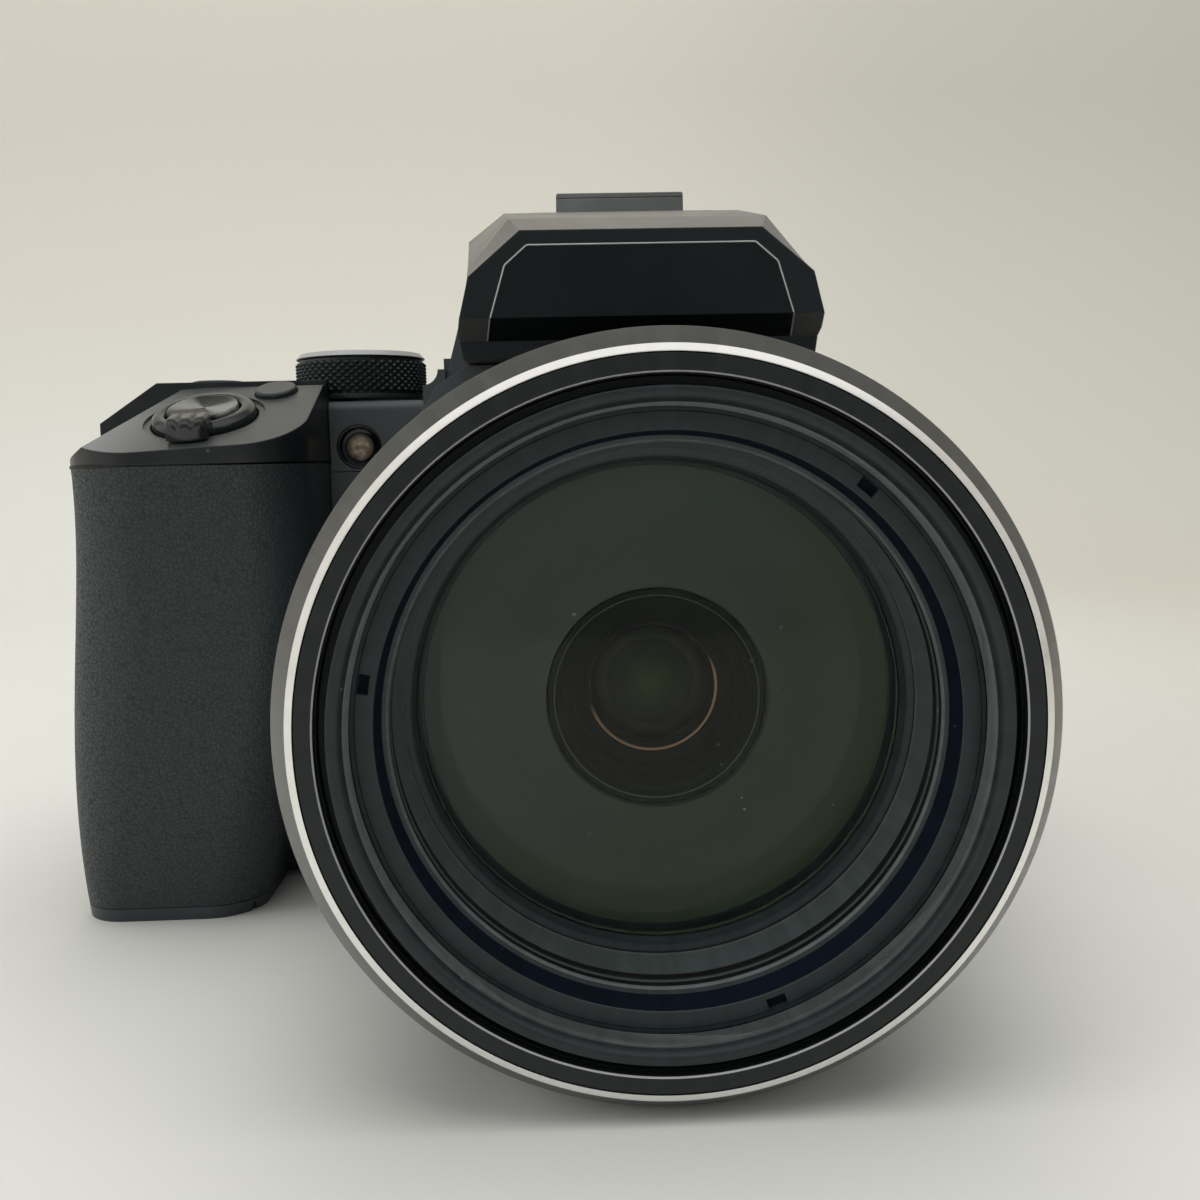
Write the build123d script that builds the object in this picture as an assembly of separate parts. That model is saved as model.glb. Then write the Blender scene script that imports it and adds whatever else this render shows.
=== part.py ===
"""A long-zoom bridge camera as separate pieces, in millimetres.

The origin is the mouth of the tripod socket in the base. The lens points to -Y, +X is the
photographer's left hand side and +Z is up. The camera stands on Z = 0.
"""

from build123d import *
from math import cos, radians, sin, sqrt, tan
import os

# Overall sizes
lens_reach = 100.0
body_front = 26.0
body_back = 34.0
body_side = 55.0
deck_margin = 1.7
hump_rise = 27.9
base_thickness = 3.0
side_seam = 2.0
wall = 2.0
seam_drop = 11.1

# Fits
seam = 0.12
seat_gap = 0.2
move_gap = 0.3
running_gap = 0.08
button_gap = 0.15
cut_over = 5.0

# Lens sizes, measured from the lens axis
barrel_radius = 39.6
barrel_inset = 3.6
ring_proud = 1.2
ring_ground = 0.8
face_margin = 1.6
spigot_margin = 2.0
barrel_wall = 1.0
front_barrel_wall = 2.3
filter_lip = 1.64
band_width = 2.7
funnel_width = 2.8
glass_depth = 18.0
eye_radius = 12.4
guide_wall = 1.3

# Grip sizes
finger_room = 5.4
grip_width = 40.6
grip_margin = 5.4
grip_front = 49.4
grip_back = -1.9
cap_drop = 9.5
grip_foot = 2.2
rubber_thickness = 1.3
cap_rise = 2.4
cap_tilt = 22.9
cap_roll = 2.7
cap_break = 26.5

# Heights and radii that follow from them
barrel_bore = barrel_radius - barrel_inset
ring_radius = barrel_radius + ring_proud
face_radius = barrel_radius - face_margin
spigot_radius = barrel_radius - spigot_margin
lens_height = ring_radius + ring_ground
front_barrel_radius = barrel_bore - barrel_wall - 2 * running_gap
front_barrel_bore = front_barrel_radius - front_barrel_wall
filter_radius = front_barrel_radius - filter_lip
band_radius = filter_radius - band_width
glass_radius = band_radius - funnel_width
bezel_radius = front_barrel_bore - running_gap
guide_bore = bezel_radius - barrel_wall - face_margin / 4
grip_inner = ring_radius + finger_room
grip_left = grip_inner + grip_width
body_left = grip_left - grip_margin
deck_height = lens_height + barrel_radius - deck_margin
deck_seam = deck_height - seam_drop
hump_top = deck_height + hump_rise
grip_height = deck_height - cap_drop
cap_top = deck_height + cap_rise

# Places of the top controls, as (distance beyond the grip's inner side, y)
dial_offset = (-3.4, -14.3)
command_offset = (19.8, 22.0)
power_offset = (19.8, -15.5)
function_offset = (7.2, -30.1)
lever_offset = (16.0, -38.2)


def grip_place(offset):
    """A place on the plan, from its distance beyond the grip's inner side."""
    across, y = offset
    return -grip_inner - across, y


dial_place = grip_place(dial_offset)
command_place = grip_place(command_offset)
power_place = grip_place(power_offset)
function_place = grip_place(function_offset)
lever_place = grip_place(lever_offset)


def lens_turn(*outline):
    """A turned body on the lens axis; points are (radius, distance behind the ring's front)."""
    face = Polygon(*[(radius, depth - lens_reach) for radius, depth in outline], align=None)
    return revolve(Pos(0, 0, lens_height) * face, Axis((0, 0, lens_height), (0, 1, 0)))


def lens_rod(radius, front, back):
    """A plain disc or plug on the lens axis between two distances behind the ring's front."""
    return lens_turn((0, front), (radius, front), (radius, back), (0, back))


def lens_tube(bore, radius, front, back):
    return lens_turn((bore, front), (radius, front), (radius, back), (bore, back))


def rounded_face(points, radii):
    """A closed face through the points, with one corner radius for each of them."""
    return make_face(FilletPolyline(*points, radius=radii, close=True))


def front_prism(face, y_front, y_back):
    """A face drawn as (x, z), run from front to back."""
    placed = Plane((0, y_back, 0), (1, 0, 0), (0, -1, 0)) * face
    return extrude(placed, amount=y_back - y_front, dir=(0, -1, 0))


def side_prism(face, x_low, x_high):
    """A face drawn as (y, z), run from side to side."""
    placed = Plane((x_low, 0, 0), (0, 1, 0), (1, 0, 0)) * face
    return extrude(placed, amount=x_high - x_low, dir=(1, 0, 0))


def plan_prism(face, z_low, z_high):
    """A face drawn as (x, y), run upwards."""
    return extrude(Pos(0, 0, z_low) * face, amount=z_high - z_low, dir=(0, 0, 1))


def block(x_span, y_span, z_span):
    """A box between three pairs of limits."""
    middles = [(low + high) / 2 for low, high in (x_span, y_span, z_span)]
    return Pos(*middles) * Box(*[high - low for low, high in (x_span, y_span, z_span)])


def upright(radius, z_low, z_high, place=(0, 0)):
    """A cylinder standing on the plan."""
    return Pos(*place, (z_low + z_high) / 2) * Cylinder(radius, z_high - z_low)


def crosswise(radius, x_low, x_high, y, z):
    """A cylinder lying along X."""
    return Pos((x_low + x_high) / 2, y, z) * Rot(0, 90, 0) * Cylinder(radius, x_high - x_low)


def lengthwise(radius, y_front, y_back, x, z):
    """A cylinder lying along Y."""
    return Pos(x, (y_front + y_back) / 2, z) * Rot(90, 0, 0) * Cylinder(radius, y_back - y_front)


def both_sides(points):
    """The right half's points, followed by their mirror images."""
    return list(points) + [(-x, z) for x, z in reversed(points)]


# Zoom lens

ring_length = 9.0
ring_chamfer = 0.9
ring_chamfer_depth = 0.4
ring_flank_depth = 2.9
face_thickness = 1.5
spigot_length = 13.0
groove_depth = 0.5
groove_width = 1.2
middle_front = 2.2
middle_length = 68.0
flush_step = 0.2
filter_depth = 3.4
filter_shoulder = 0.8
clip_count = 3
clip_width = 3.4
clip_reach = 1.6
clip_depth = 0.9
clip_angle = 20.0
funnel_shares = ((0.0, 0.0), (0.12, 0.10), (0.17, 0.33), (0.25, 0.36), (0.32, 0.57),
                 (0.52, 0.62), (0.60, 0.82), (1.0, 0.88))

barrel_length = lens_reach - body_front
band_depth = filter_depth + flush_step / 2
cell_depth = glass_depth + filter_depth
housing_front = barrel_length + spigot_length


def make_fixed_barrel():
    """Outer tube with its side pod, ending on the cover's lean, and a spigot into the cover."""
    skin = barrel_radius - groove_depth
    rear_groove = barrel_length - 2 * ring_length
    tube = lens_turn(
        (spigot_radius, ring_length), (skin, ring_length), (skin, ring_length + groove_width),
        (barrel_radius, ring_length + groove_width), (barrel_radius, rear_groove),
        (skin, rear_groove), (skin, rear_groove + groove_width), (barrel_radius, rear_groove + groove_width),
        (barrel_radius, housing_front), (spigot_radius, housing_front))
    above = block((-ring_radius, ring_radius), (-body_front, body_back), (lens_height, 2 * lens_height))
    tube = tube - body_block(-seam) - above + control_pod()
    spigot = lens_turn(
        (barrel_bore, face_thickness), (face_radius, face_thickness), (face_radius, ring_length),
        (spigot_radius, ring_length), (spigot_radius, housing_front), (barrel_bore, housing_front))
    return tube + spigot


def make_front_ring():
    """Satin ring round the barrel's front, with its polished chamfer."""
    bore = face_radius + seam / 2
    return lens_turn(
        (bore, 0), (face_radius + seam, 0), (face_radius + ring_chamfer, ring_chamfer_depth),
        (ring_radius, ring_flank_depth), (ring_radius, ring_length - seam), (bore, ring_length - seam))


def make_face_ring():
    """Black satin annulus on the barrel's front."""
    edge = seam / 2
    return lens_turn(
        (barrel_bore + edge, 0), (face_radius - edge, 0), (face_radius - edge, face_thickness),
        (barrel_bore, face_thickness), (barrel_bore, edge))


def make_middle_barrel():
    """First moving tube, seen as the dark line inside the face ring."""
    radius = barrel_bore - running_gap
    return lens_tube(radius - barrel_wall, radius, middle_front, middle_front + middle_length)


def make_front_barrel():
    """Second moving tube, with the front lip and the filter thread's seat."""
    back = middle_front + middle_length
    lip = filter_radius + filter_shoulder
    return lens_turn(
        (lip, -flush_step), (front_barrel_radius - flush_step, -flush_step), (front_barrel_radius, 0),
        (front_barrel_radius, back), (front_barrel_bore, back), (front_barrel_bore, filter_depth),
        (filter_radius, filter_depth), (filter_radius, filter_shoulder - flush_step))


def make_lens_bezel():
    """Flat band with three clip recesses, and the stepped funnel down to the glass."""
    fall, inward = glass_depth - band_depth, band_radius - glass_radius
    steps = [(band_radius - across * inward, band_depth + down * fall) for across, down in funnel_shares]
    bezel = lens_turn(
        *steps, (glass_radius, glass_depth), (bezel_radius, glass_depth), (bezel_radius, band_depth))
    for turn in range(clip_count):
        angle = radians(clip_angle + turn * 360 / clip_count)
        reach = band_radius + clip_reach
        notch = Box(clip_width, 2 * clip_depth, clip_reach)
        place = Pos(reach * sin(angle), band_depth - lens_reach, lens_height - reach * cos(angle))
        bezel -= place * Rot(0, 180 - clip_angle - turn * 360 / clip_count, 0) * notch
    return bezel


def make_front_lens():
    """Front element: a shallow dome with a ground flange at its back."""
    crown = glass_depth - filter_depth
    sag = filter_depth - barrel_wall
    dome_radius = (glass_radius ** 2 + sag ** 2) / (2 * sag)
    back = cell_depth - barrel_wall
    ball = Pos(0, crown + dome_radius - lens_reach, lens_height) * Sphere(dome_radius)
    flange = lens_rod(bezel_radius - barrel_wall, glass_depth + seat_gap, back)
    return (lens_rod(glass_radius - seat_gap, crown, back) & ball) + flange


def make_front_cell():
    """Holder of the front element, with the dark ring plate behind the glass."""
    opening = eye_radius + wall / 2
    lip = bezel_radius - barrel_wall + seat_gap
    floor = cell_depth - barrel_wall + seat_gap
    return lens_turn(
        (lip, glass_depth + seat_gap), (bezel_radius, glass_depth + seat_gap),
        (bezel_radius, floor + wall), (opening, floor + wall), (opening, floor), (lip, floor))


zoom_cell_length = 36.0
zoom_lens_depth = 31.0
zoom_step_shares = ((1.0, 0.0), (0.95, 0.16), (0.88, 0.16), (0.86, 0.42), (0.77, 0.42),
                    (0.75, 0.74), (0.64, 0.74), (0.64, 1.0))
trim_ring_width = 0.7
zoom_lens_share = 0.60


def make_zoom_cell():
    """Second lens group's holder: a stepped cone in a carrier that runs in the guide tube."""
    nose_front = cell_depth
    carrier_front = cell_depth + filter_depth + wall
    back = carrier_front + zoom_cell_length
    nose = eye_radius + seat_gap
    fall = zoom_lens_depth - nose_front
    steps = [(eye_radius * across, nose_front + down * fall) for across, down in zoom_step_shares]
    seat = eye_radius * zoom_lens_share
    outer = guide_bore - running_gap
    plate_back = carrier_front + wall
    hub_back = zoom_lens_depth + zoom_cell_length / 4
    return lens_turn(
        *steps, (seat, zoom_lens_depth), (seat, hub_back), (eye_radius, hub_back), (eye_radius, plate_back),
        (outer - wall, plate_back), (outer - wall, back), (outer, back), (outer, carrier_front),
        (nose, carrier_front), (nose, nose_front))


def make_trim_ring():
    """Thin copper-coloured ring on the last step of the zoom cell."""
    across, down = zoom_step_shares[-2]
    depth = cell_depth + down * (zoom_lens_depth - cell_depth)
    radius = eye_radius * zoom_step_shares[-3][0] - seat_gap
    return lens_tube(radius - trim_ring_width, radius, depth - trim_ring_width, depth)


def make_zoom_lens():
    radius = eye_radius * zoom_lens_share - running_gap
    return lens_rod(radius, zoom_lens_depth + seat_gap, zoom_lens_depth + filter_depth)


flange_margin = 1.4
drum_length = 29.0
rear_lens_radius = 9.0

flange_radius = barrel_radius - flange_margin
drum_radius = guide_bore + wall
guide_front = cell_depth + filter_depth + wall
drum_back = housing_front + wall + drum_length


def make_lens_housing():
    """Flange and drum behind the barrel, with the guide tube and the rear lens seat."""
    flange_back = housing_front + wall
    shell = drum_radius - wall
    front = housing_front + seat_gap
    guide_outer = guide_bore + guide_wall
    return lens_turn(
        (guide_bore, guide_front), (guide_outer, guide_front), (guide_outer, front),
        (flange_radius, front), (flange_radius, flange_back), (drum_radius, flange_back),
        (drum_radius, drum_back), (rear_lens_radius, drum_back),
        (rear_lens_radius, drum_back - 2 * ring_length), (rear_lens_radius + wall, drum_back - 2 * ring_length),
        (rear_lens_radius + wall, drum_back - wall), (shell, drum_back - wall), (shell, flange_back),
        (guide_bore, flange_back))


def make_rear_lens():
    front = drum_back - 2 * ring_length + wall
    return lens_rod(rear_lens_radius - running_gap, front, front + filter_depth)


# Body shell

front_lean = 11.0
lean_height = 28.0
shoulder_fall = 17.5
shoulder_drop = 6.0
shoulder_inset = 6.0
corner_radius = 10.0
base_radius = 5.0
edge_radius = 3.0
hump_base = 29.5
hump_waist = 26.5
hump_wide = 24.0
hump_shoulder = 23.5
hump_crown = 18.0
hump_front = 25.2
hump_waist_rise = 8.5
hump_wide_rise = 17.5
hump_shoulder_rise = 23.5
fin_height = 4.6
fin_thickness = 1.2
fin_foot = 2.4
fin_x = 28.0
step_reach = 3.2
step_size = (8.0, 2.6)
wing_reach = 32.0
tunnel_width = 25.0
tunnel_height = 19.0
tunnel_rise = 4.5

hump_waist_height = deck_height + hump_waist_rise
hump_wide_height = deck_height + hump_wide_rise
hump_shoulder_height = deck_height + hump_shoulder_rise
tunnel_base = deck_height + tunnel_rise


def body_front_face(inset):
    """The body's outline from the front."""
    points = [(-body_left, 0), (body_side, 0), (body_side, deck_height - shoulder_fall),
              (body_side - shoulder_inset, deck_height - shoulder_drop), (hump_base, deck_height),
              (-body_left, deck_height)]
    radii = [base_radius, base_radius, corner_radius, corner_radius, corner_radius, corner_radius]
    return offset(rounded_face(points, radii), amount=-inset) if inset else rounded_face(points, radii)


def body_side_face(inset):
    """The body's outline from the side, leaning back below the lens."""
    points = [(front_lean - body_front, 0), (-body_front, lean_height), (-body_front, deck_height),
              (body_back, deck_height), (body_back, 0)]
    radii = [edge_radius, 4 * edge_radius, edge_radius / 2, edge_radius, edge_radius]
    return offset(rounded_face(points, radii), amount=-inset) if inset else rounded_face(points, radii)


def body_block(inset=0):
    front = front_prism(body_front_face(inset), -body_front, body_back)
    return front & side_prism(body_side_face(inset), -body_left, body_side)


def hump_face():
    """The viewfinder hump's outline from the front."""
    half = [(hump_base, deck_height - wall), (hump_waist, hump_waist_height),
            (hump_wide, hump_wide_height), (hump_shoulder, hump_shoulder_height), (hump_crown, hump_top)]
    radii = [0, 4 * edge_radius, edge_radius, edge_radius, edge_radius]
    return rounded_face(both_sides(half), radii + list(reversed(radii)))


def make_hump():
    """Fixed hump behind the flash head, hollow for the viewfinder."""
    hump = front_prism(hump_face(), -hump_front, body_back + wall)
    return hump - viewfinder_tunnel()


def viewfinder_tunnel():
    half = tunnel_width / 2
    return block((-half, half), (wall - hump_front, body_back + cut_over),
                 (tunnel_base, tunnel_base + tunnel_height))


def make_wings():
    """Two saddle wings that carry the flash head down to the barrel."""
    top = flash_underside - move_gap
    half = [(eye_radius, top), (flash_foot, top), (hump_waist, deck_height),
            (hump_base, deck_height - fin_height), (hump_wide, deck_seam + wall),
            (eye_radius, deck_seam + wall)]
    pair = None
    for side in (1, -1):
        points = [(side * x, z) for x, z in half]
        face = Polygon(*points, align=None)
        wing = front_prism(face, -hump_front - wing_reach, wall - hump_front)
        pair = wing if pair is None else pair + wing
    return pair - lens_rod(ring_radius + move_gap, 0, housing_front)


def make_fin():
    """Thin upright edge where the deck curls up beside the hump."""
    outer = -fin_x - fin_thickness
    face = make_face(
        Line((-fin_x, deck_height - wall), (-fin_x, deck_height + fin_height))
        + Line((-fin_x, deck_height + fin_height), (outer, deck_height + fin_height))
        + JernArc((outer, deck_height + fin_height), (0, -1), fin_foot, -90)
        + Polyline((outer - fin_foot, deck_height + fin_height - fin_foot),
                   (outer - fin_foot, deck_height - wall), (-fin_x, deck_height - wall)))
    long, tall = step_size
    low = deck_height + fin_height
    step = block((-fin_x - fin_thickness, step_reach - fin_x), (-dial_radius - long / 2, -dial_radius + long / 2),
                 (low, low + tall))
    return front_prism(face, -body_front + seam, -body_front + 4 * fin_foot) + step


def shell_region(shell, x_span, y_span, z_span):
    return shell & block(x_span, y_span, z_span)


def body_shell():
    """The whole housing as one hollow, before it is parted into covers."""
    return body_block() - body_block(wall) - grip_block(seam) - cap_block(seam)


wide_x = (-grip_left - cut_over, body_side + cut_over)
deep_y = (-body_front - wing_reach - cut_over, body_back + cut_over)


def lens_hole():
    return lens_rod(spigot_radius + running_gap, 0, housing_front + wall)


lamp_x = -41.9
lamp_rise = 3.9
lamp_recess = 3.5
lamp_radius = 2.1
lamp_depth = 1.6
boss_radius = 2.5

lamp_place = (lamp_x, deck_seam + lamp_rise)


def make_front_cover(shell):
    cover = shell_region(shell, wide_x, (deep_y[0], side_seam), (base_thickness, deck_seam))
    return cover - lens_hole() - connector_window(seam)


def rear_bosses():
    """Four pegs that hold the main board against the rear cover's floor."""
    floor = body_back - monitor_recess - wall
    pegs = None
    for x in (board_x[0] + 2 * boss_radius, board_x[1] - 2 * boss_radius):
        for z in (board_z[0] + 2 * boss_radius, board_z[1] - 2 * boss_radius):
            peg = lengthwise(boss_radius, board_back + seat_gap, floor + seam, x, z)
            pegs = peg if pegs is None else pegs + peg
    return pegs


def monitor_bay(grow):
    """The space of the folded monitor in the rear cover."""
    return block((monitor_x[0] - grow, body_side + cut_over), (body_back - monitor_recess, body_back + cut_over),
                 (monitor_z[0] - grow, monitor_z[1] + grow))


def make_rear_cover(shell):
    cover = shell_region(shell, wide_x, (side_seam + seam, deep_y[1]), (base_thickness, deck_seam))
    floor = block((monitor_x[0] - wall, body_side), (body_back - monitor_recess - wall, body_back - seam),
                  (monitor_z[0] - wall, monitor_z[1] + wall))
    cover += floor & body_block(seam)
    cover += rear_bosses()
    cover -= monitor_bay(move_gap)
    cover += hinge_ears()
    for x, z, radius in rear_holes():
        cover -= lengthwise(radius, body_back - 4 * wall, body_back + cut_over, x, z)
    return cover


def make_top_cover(shell):
    """Deck, hump, wings and fin in one moulding."""
    cover = shell_region(shell, wide_x, deep_y, (deck_seam + seam, deck_height + cut_over))
    cover += make_hump() + make_wings() + make_fin()
    cover -= lens_hole()
    cover -= lens_rod(flange_radius + move_gap, housing_front - wall, drum_back + wall)
    cover -= upright(dial_shaft + running_gap, deck_seam, deck_height + wall, dial_place)
    cover -= upright(dial_shaft + running_gap, deck_seam, deck_height + wall, command_place)
    cover -= upright(command_radius + move_gap, deck_height - command_sink, deck_height + wall, command_place)
    cover -= shoe_recess()
    cover -= eyepiece_seat()
    cover -= diopter_room()
    cover -= flash_button_room()
    for x, z, radius in rear_holes():
        cover -= lengthwise(radius, body_back - 4 * wall, body_back + cut_over, x, z)
    cover -= lengthwise(lamp_recess, -body_front - wall, lamp_depth - body_front, *lamp_place)
    cover -= flash_room()
    cover += ear_pair(0) + ear_webs()
    half = knuckle_half + ear_width
    return cover - crosswise(pin_radius + running_gap, -half - running_gap, half + running_gap,
                             flash_pivot_y, flash_pivot_z)


def make_assist_lamp():
    """Round lens of the focus-assist lamp in its recess."""
    floor = lamp_depth - body_front
    return lengthwise(lamp_radius, floor - lamp_radius / 2, floor, *lamp_place)


bush_radius = 3.175
bush_wall = 2.4
bush_height = 7.0


def make_bottom_cover():
    """Base plate with the tripod hole and the screw seats."""
    plate = body_block() & block(wide_x, deep_y, (0, base_thickness - seam))
    plate -= grip_block(seam)
    plate -= upright(bush_radius + bush_wall + seam, -wall, base_thickness)
    for place in screw_places():
        plate -= upright(screw_head + seam, -wall, screw_depth, place)
        plate -= upright(screw_head / 2, 0, base_thickness, place)
    return plate


def make_tripod_bush():
    """Blind threaded metal bush with a flange inside the base."""
    bush = upright(bush_radius + bush_wall, 0, bush_height)
    bush += upright(bush_radius + 2 * bush_wall, base_thickness, base_thickness + bush_wall / 2)
    return bush - upright(bush_radius, -wall, bush_height - bush_wall / 2)


screw_head = 1.9
screw_depth = 1.2
screw_inset = 9.0


def screw_places():
    return [(body_side - screw_inset, -screw_inset), (body_side - screw_inset, body_back - screw_inset),
            (-body_left / 2, body_back - screw_inset), (screw_inset - body_left, body_back - screw_inset)]


def make_housing_screws():
    """Four small screws in the base, each its own solid."""
    screws = []
    for place in screw_places():
        head = upright(screw_head, seam, screw_depth, place)
        shank = upright(screw_head / 2 - running_gap, screw_depth, base_thickness - seam, place)
        cross = upright(screw_head / 2, 0, 2 * seam, place)
        screws.append(head + shank - cross)
    return Compound(children=screws)


# Grip

grip_corner = 13.0
grip_inner_corner = 8.0
grip_station_shares = ((0.0, 0.0, 1.14, 1.08, 0.52), (0.26, 0.03, 0.64, 0.58, 0.77),
                       (0.52, 0.13, 0.36, 0.18, 1.0), (0.78, 0.28, 0.30, 0.05, 1.0), (1.0, 0.42, 0.0, 0.03, 1.0))
grip_draw = 12.0


def grip_section(share_row, inset):
    """One level outline of the grip, as (x, y)."""
    rise, left_share, front_share, inner_share, corner_share = share_row
    left = inset + left_share * grip_draw - grip_left
    front = inset + front_share * grip_draw - grip_front
    inner = -grip_inner - inner_share * grip_draw - inset
    points = [(left, -grip_back - inset), (left, front), (inner, front), (inner, -grip_back - inset)]
    radii = [0, grip_corner * corner_share - inset, grip_inner_corner - inset, 0]
    return Pos(0, 0, rise * grip_height) * rounded_face(points, radii)


def grip_block(grow=0):
    """The grip's whole form below its cap."""
    return loft([grip_section(row, -grow) for row in grip_station_shares])


battery_size = (14.1, 30.7, 50.0)
battery_offset = (29.6, -31.4)
door_thickness = 1.8
door_margin = 1.2
door_gap = 0.25


def battery_span(grow):
    """The battery's limits on each axis, standing on the door."""
    x, y = grip_place(battery_offset)
    wide, deep, tall = battery_size
    base = door_lift + door_thickness + move_gap
    return (x - grow, x + wide + grow), (y - grow, y + deep + grow), (base - grow, base + tall + grow)


def make_battery():
    cell = block(*battery_span(0))
    return fillet(cell.edges().filter_by(Axis.Z), edge_radius / 2)


door_lift = 0.3


def door_span(grow):
    """The battery door's limits in plan."""
    x, y = grip_place(battery_offset)
    wide, deep, _ = battery_size
    rim = door_margin + grow
    return (x - rim, x + wide + rim), (y - rim, y + deep + rim)


def make_battery_door():
    """Door under the grip, rounded along its inner side where it hinges."""
    x_span, y_span = door_span(0)
    round_radius = door_thickness / 2
    pivot_x = x_span[1] - round_radius
    door = block((x_span[0], pivot_x), y_span, (door_lift, door_lift + door_thickness))
    door += lengthwise(round_radius, *y_span, pivot_x, door_lift + round_radius)
    latch_y = (y_span[0] + y_span[1]) / 2
    notch = block((x_span[0] + wall, x_span[0] + 2 * wall), (latch_y - 2 * wall, latch_y + 2 * wall),
                  (0, 2 * door_lift))
    return door - notch


def make_grip_frame():
    """Plastic frame under the rubber, with the battery chamber and its foot."""
    core = grip_block(-rubber_thickness - seam)
    foot = grip_block(0) & block(wide_x, (-grip_front - cut_over, 0), (0, grip_foot))
    frame = core + foot
    frame -= block(*battery_span(seat_gap))
    x_span, y_span = door_span(door_gap)
    frame -= block(x_span, y_span, (-wall, door_lift + door_thickness + move_gap))
    return frame & block(wide_x, (-grip_front - cut_over, 0), (0, grip_height - seam))


def make_grip_rubber():
    """Leather-grain skin round the grip, running on over the body front to the barrel."""
    skin = grip_block(0) - grip_block(-rubber_thickness)
    pad = body_block(-rubber_thickness) - body_block(-seam) - grip_block(-rubber_thickness / 2)
    pad = pad & block((-grip_inner - grip_draw, -lens_height / 2), (-grip_front, lean_height / 2 - body_front),
                      (grip_foot + seam, deck_seam))
    pad -= lens_rod(barrel_radius + move_gap, 0, lens_reach)
    return (skin & block(wide_x, (-grip_front - cut_over, -grip_back - rubber_thickness),
                         (grip_foot + seam, grip_height - seam))) + pad


# Grip cap and its controls

shoulder_tilt = 9.3
shoulder_roll = 33.8
shoulder_offset = (22.5, -25.7)
rear_front = 26.2
rear_offset = 26.5
rear_rise = 0.9
rear_fall = 6.0
lever_radius = 7.45
lever_bore = 5.35
lever_thickness = 2.6
lever_sink = 1.6
lever_tab = 6.4
lever_tab_reach = 10.6
lever_tab_height = 3.0
lever_dish = 0.4
tab_groove = 0.8
shutter_radius = 5.1
shutter_height = 3.4
shutter_travel = 0.8
dish_radius = 12.0
function_radius = 3.1
power_radius = 4.2
button_height = 3.2
button_proud = 0.8
button_travel = 0.5


def cap_level(y):
    """Height of the cap's top over the lever's place along X."""
    return cap_top - max(0, -cap_break - y) * tan(radians(cap_tilt))


def cap_frame(place):
    """A place on the sloped top, with Z square to it."""
    x, y = place
    height = cap_level(y) + (x - lever_place[0]) * tan(radians(cap_roll))
    return Pos(x, y, height) * Rot(cap_tilt, 0, 0) * Rot(0, -cap_roll, 0)


def below(frame, lift):
    """Everything under a frame's own ground, as a large block."""
    size = 2 * (grip_left + grip_front)
    return frame * Pos(0, 0, lift - size / 2) * Box(size, size, size)


def rear_crest(body, grow):
    """The cap's level part behind the slope, wider to the left and falling to the deck."""
    high = cap_top + rear_rise + grow
    corner = -grip_inner - rear_offset
    edge = corner - grip_width
    left = Polygon((edge, 0), (edge, high - grip_width * tan(radians(shoulder_roll))), (corner, high),
                   (0, high), (0, 0), align=None)
    body = body & front_prism(left, -rear_front - grow, body_back)
    back = Polygon((-grip_front, 0), (-grip_front, high), (-rear_fall, high),
                   (-grip_back + grow, deck_height + cap_rise / 4 + grow), (-grip_back + grow, 0), align=None)
    return body & side_prism(back, -grip_left - cut_over, 0)


def cap_block(grow=0):
    """The cap's form: the grip's top outline under a slope, a left shoulder and a level crest."""
    outline = grip_section((0, ) + grip_station_shares[-1][1:], -grow)
    body = plan_prism(outline, grip_height + seam - grow, cap_top + rear_rise + grow)
    x, y = grip_place(shoulder_offset)
    shoulder = Pos(x, y, cap_top) * Rot(shoulder_tilt, 0, 0) * Rot(0, -shoulder_roll, 0)
    nose = body & below(cap_frame(lever_place), grow) & below(shoulder, grow)
    nose = nose & below(Pos(0, 0, cap_top), grow)
    return nose + rear_crest(body, grow)


def make_grip_cap():
    cap = cap_block(0)
    frame = cap_frame(lever_place)
    cap -= frame * Pos(0, 0, lever_thickness - lever_sink) * Cylinder(lever_radius + move_gap, 2 * lever_thickness)
    cap -= frame * Pos(0, 0, lever_dish) * Cylinder(lever_radius + 4 * move_gap, 4 * lever_dish)
    cap -= frame * Cylinder(lever_bore - seam, 3 * shutter_height)
    cap -= upright(dial_radius + move_gap, deck_height, cap_top + wall, dial_place)
    cap -= cap_frame(function_place) * Cylinder(function_radius + button_gap, 4 * button_height)
    high = cap_top + rear_rise
    return cap - upright(power_radius + button_gap, high - 2 * button_height, high + wall, power_place)


def make_zoom_lever():
    """Ring with a ridged tab, turning about the shutter button."""
    rise = lever_thickness - lever_sink
    ring = Pos(0, 0, rise - lever_thickness / 2 + move_gap) * Cylinder(lever_radius, lever_thickness)
    ring = chamfer(ring.edges().sort_by(Axis.Z)[-1], lever_dish)
    reach = (lever_bore + lever_tab_reach) / 2
    tab = Pos(0, -reach, lever_tab_height / 2 + move_gap) * Box(lever_tab, lever_tab_reach - lever_bore,
                                                                 lever_tab_height)
    tab = chamfer(tab.edges().filter_by(Axis.X).sort_by(Axis.Z)[-2:].sort_by(Axis.Y)[0], tab_groove)
    tab = fillet(tab.edges().filter_by(Axis.Z).sort_by(Axis.Y)[:2], tab_groove)
    for side in (1, -1):
        groove = Rot(90, 0, 0) * Cylinder(tab_groove, 2 * lever_tab_reach)
        tab -= Pos(side * lever_tab / 5, -reach, lever_tab_height + move_gap + tab_groove / 4) * groove
    lever = ring + tab - Cylinder(lever_bore, 8 * lever_thickness)
    return cap_frame(lever_place) * lever


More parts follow.
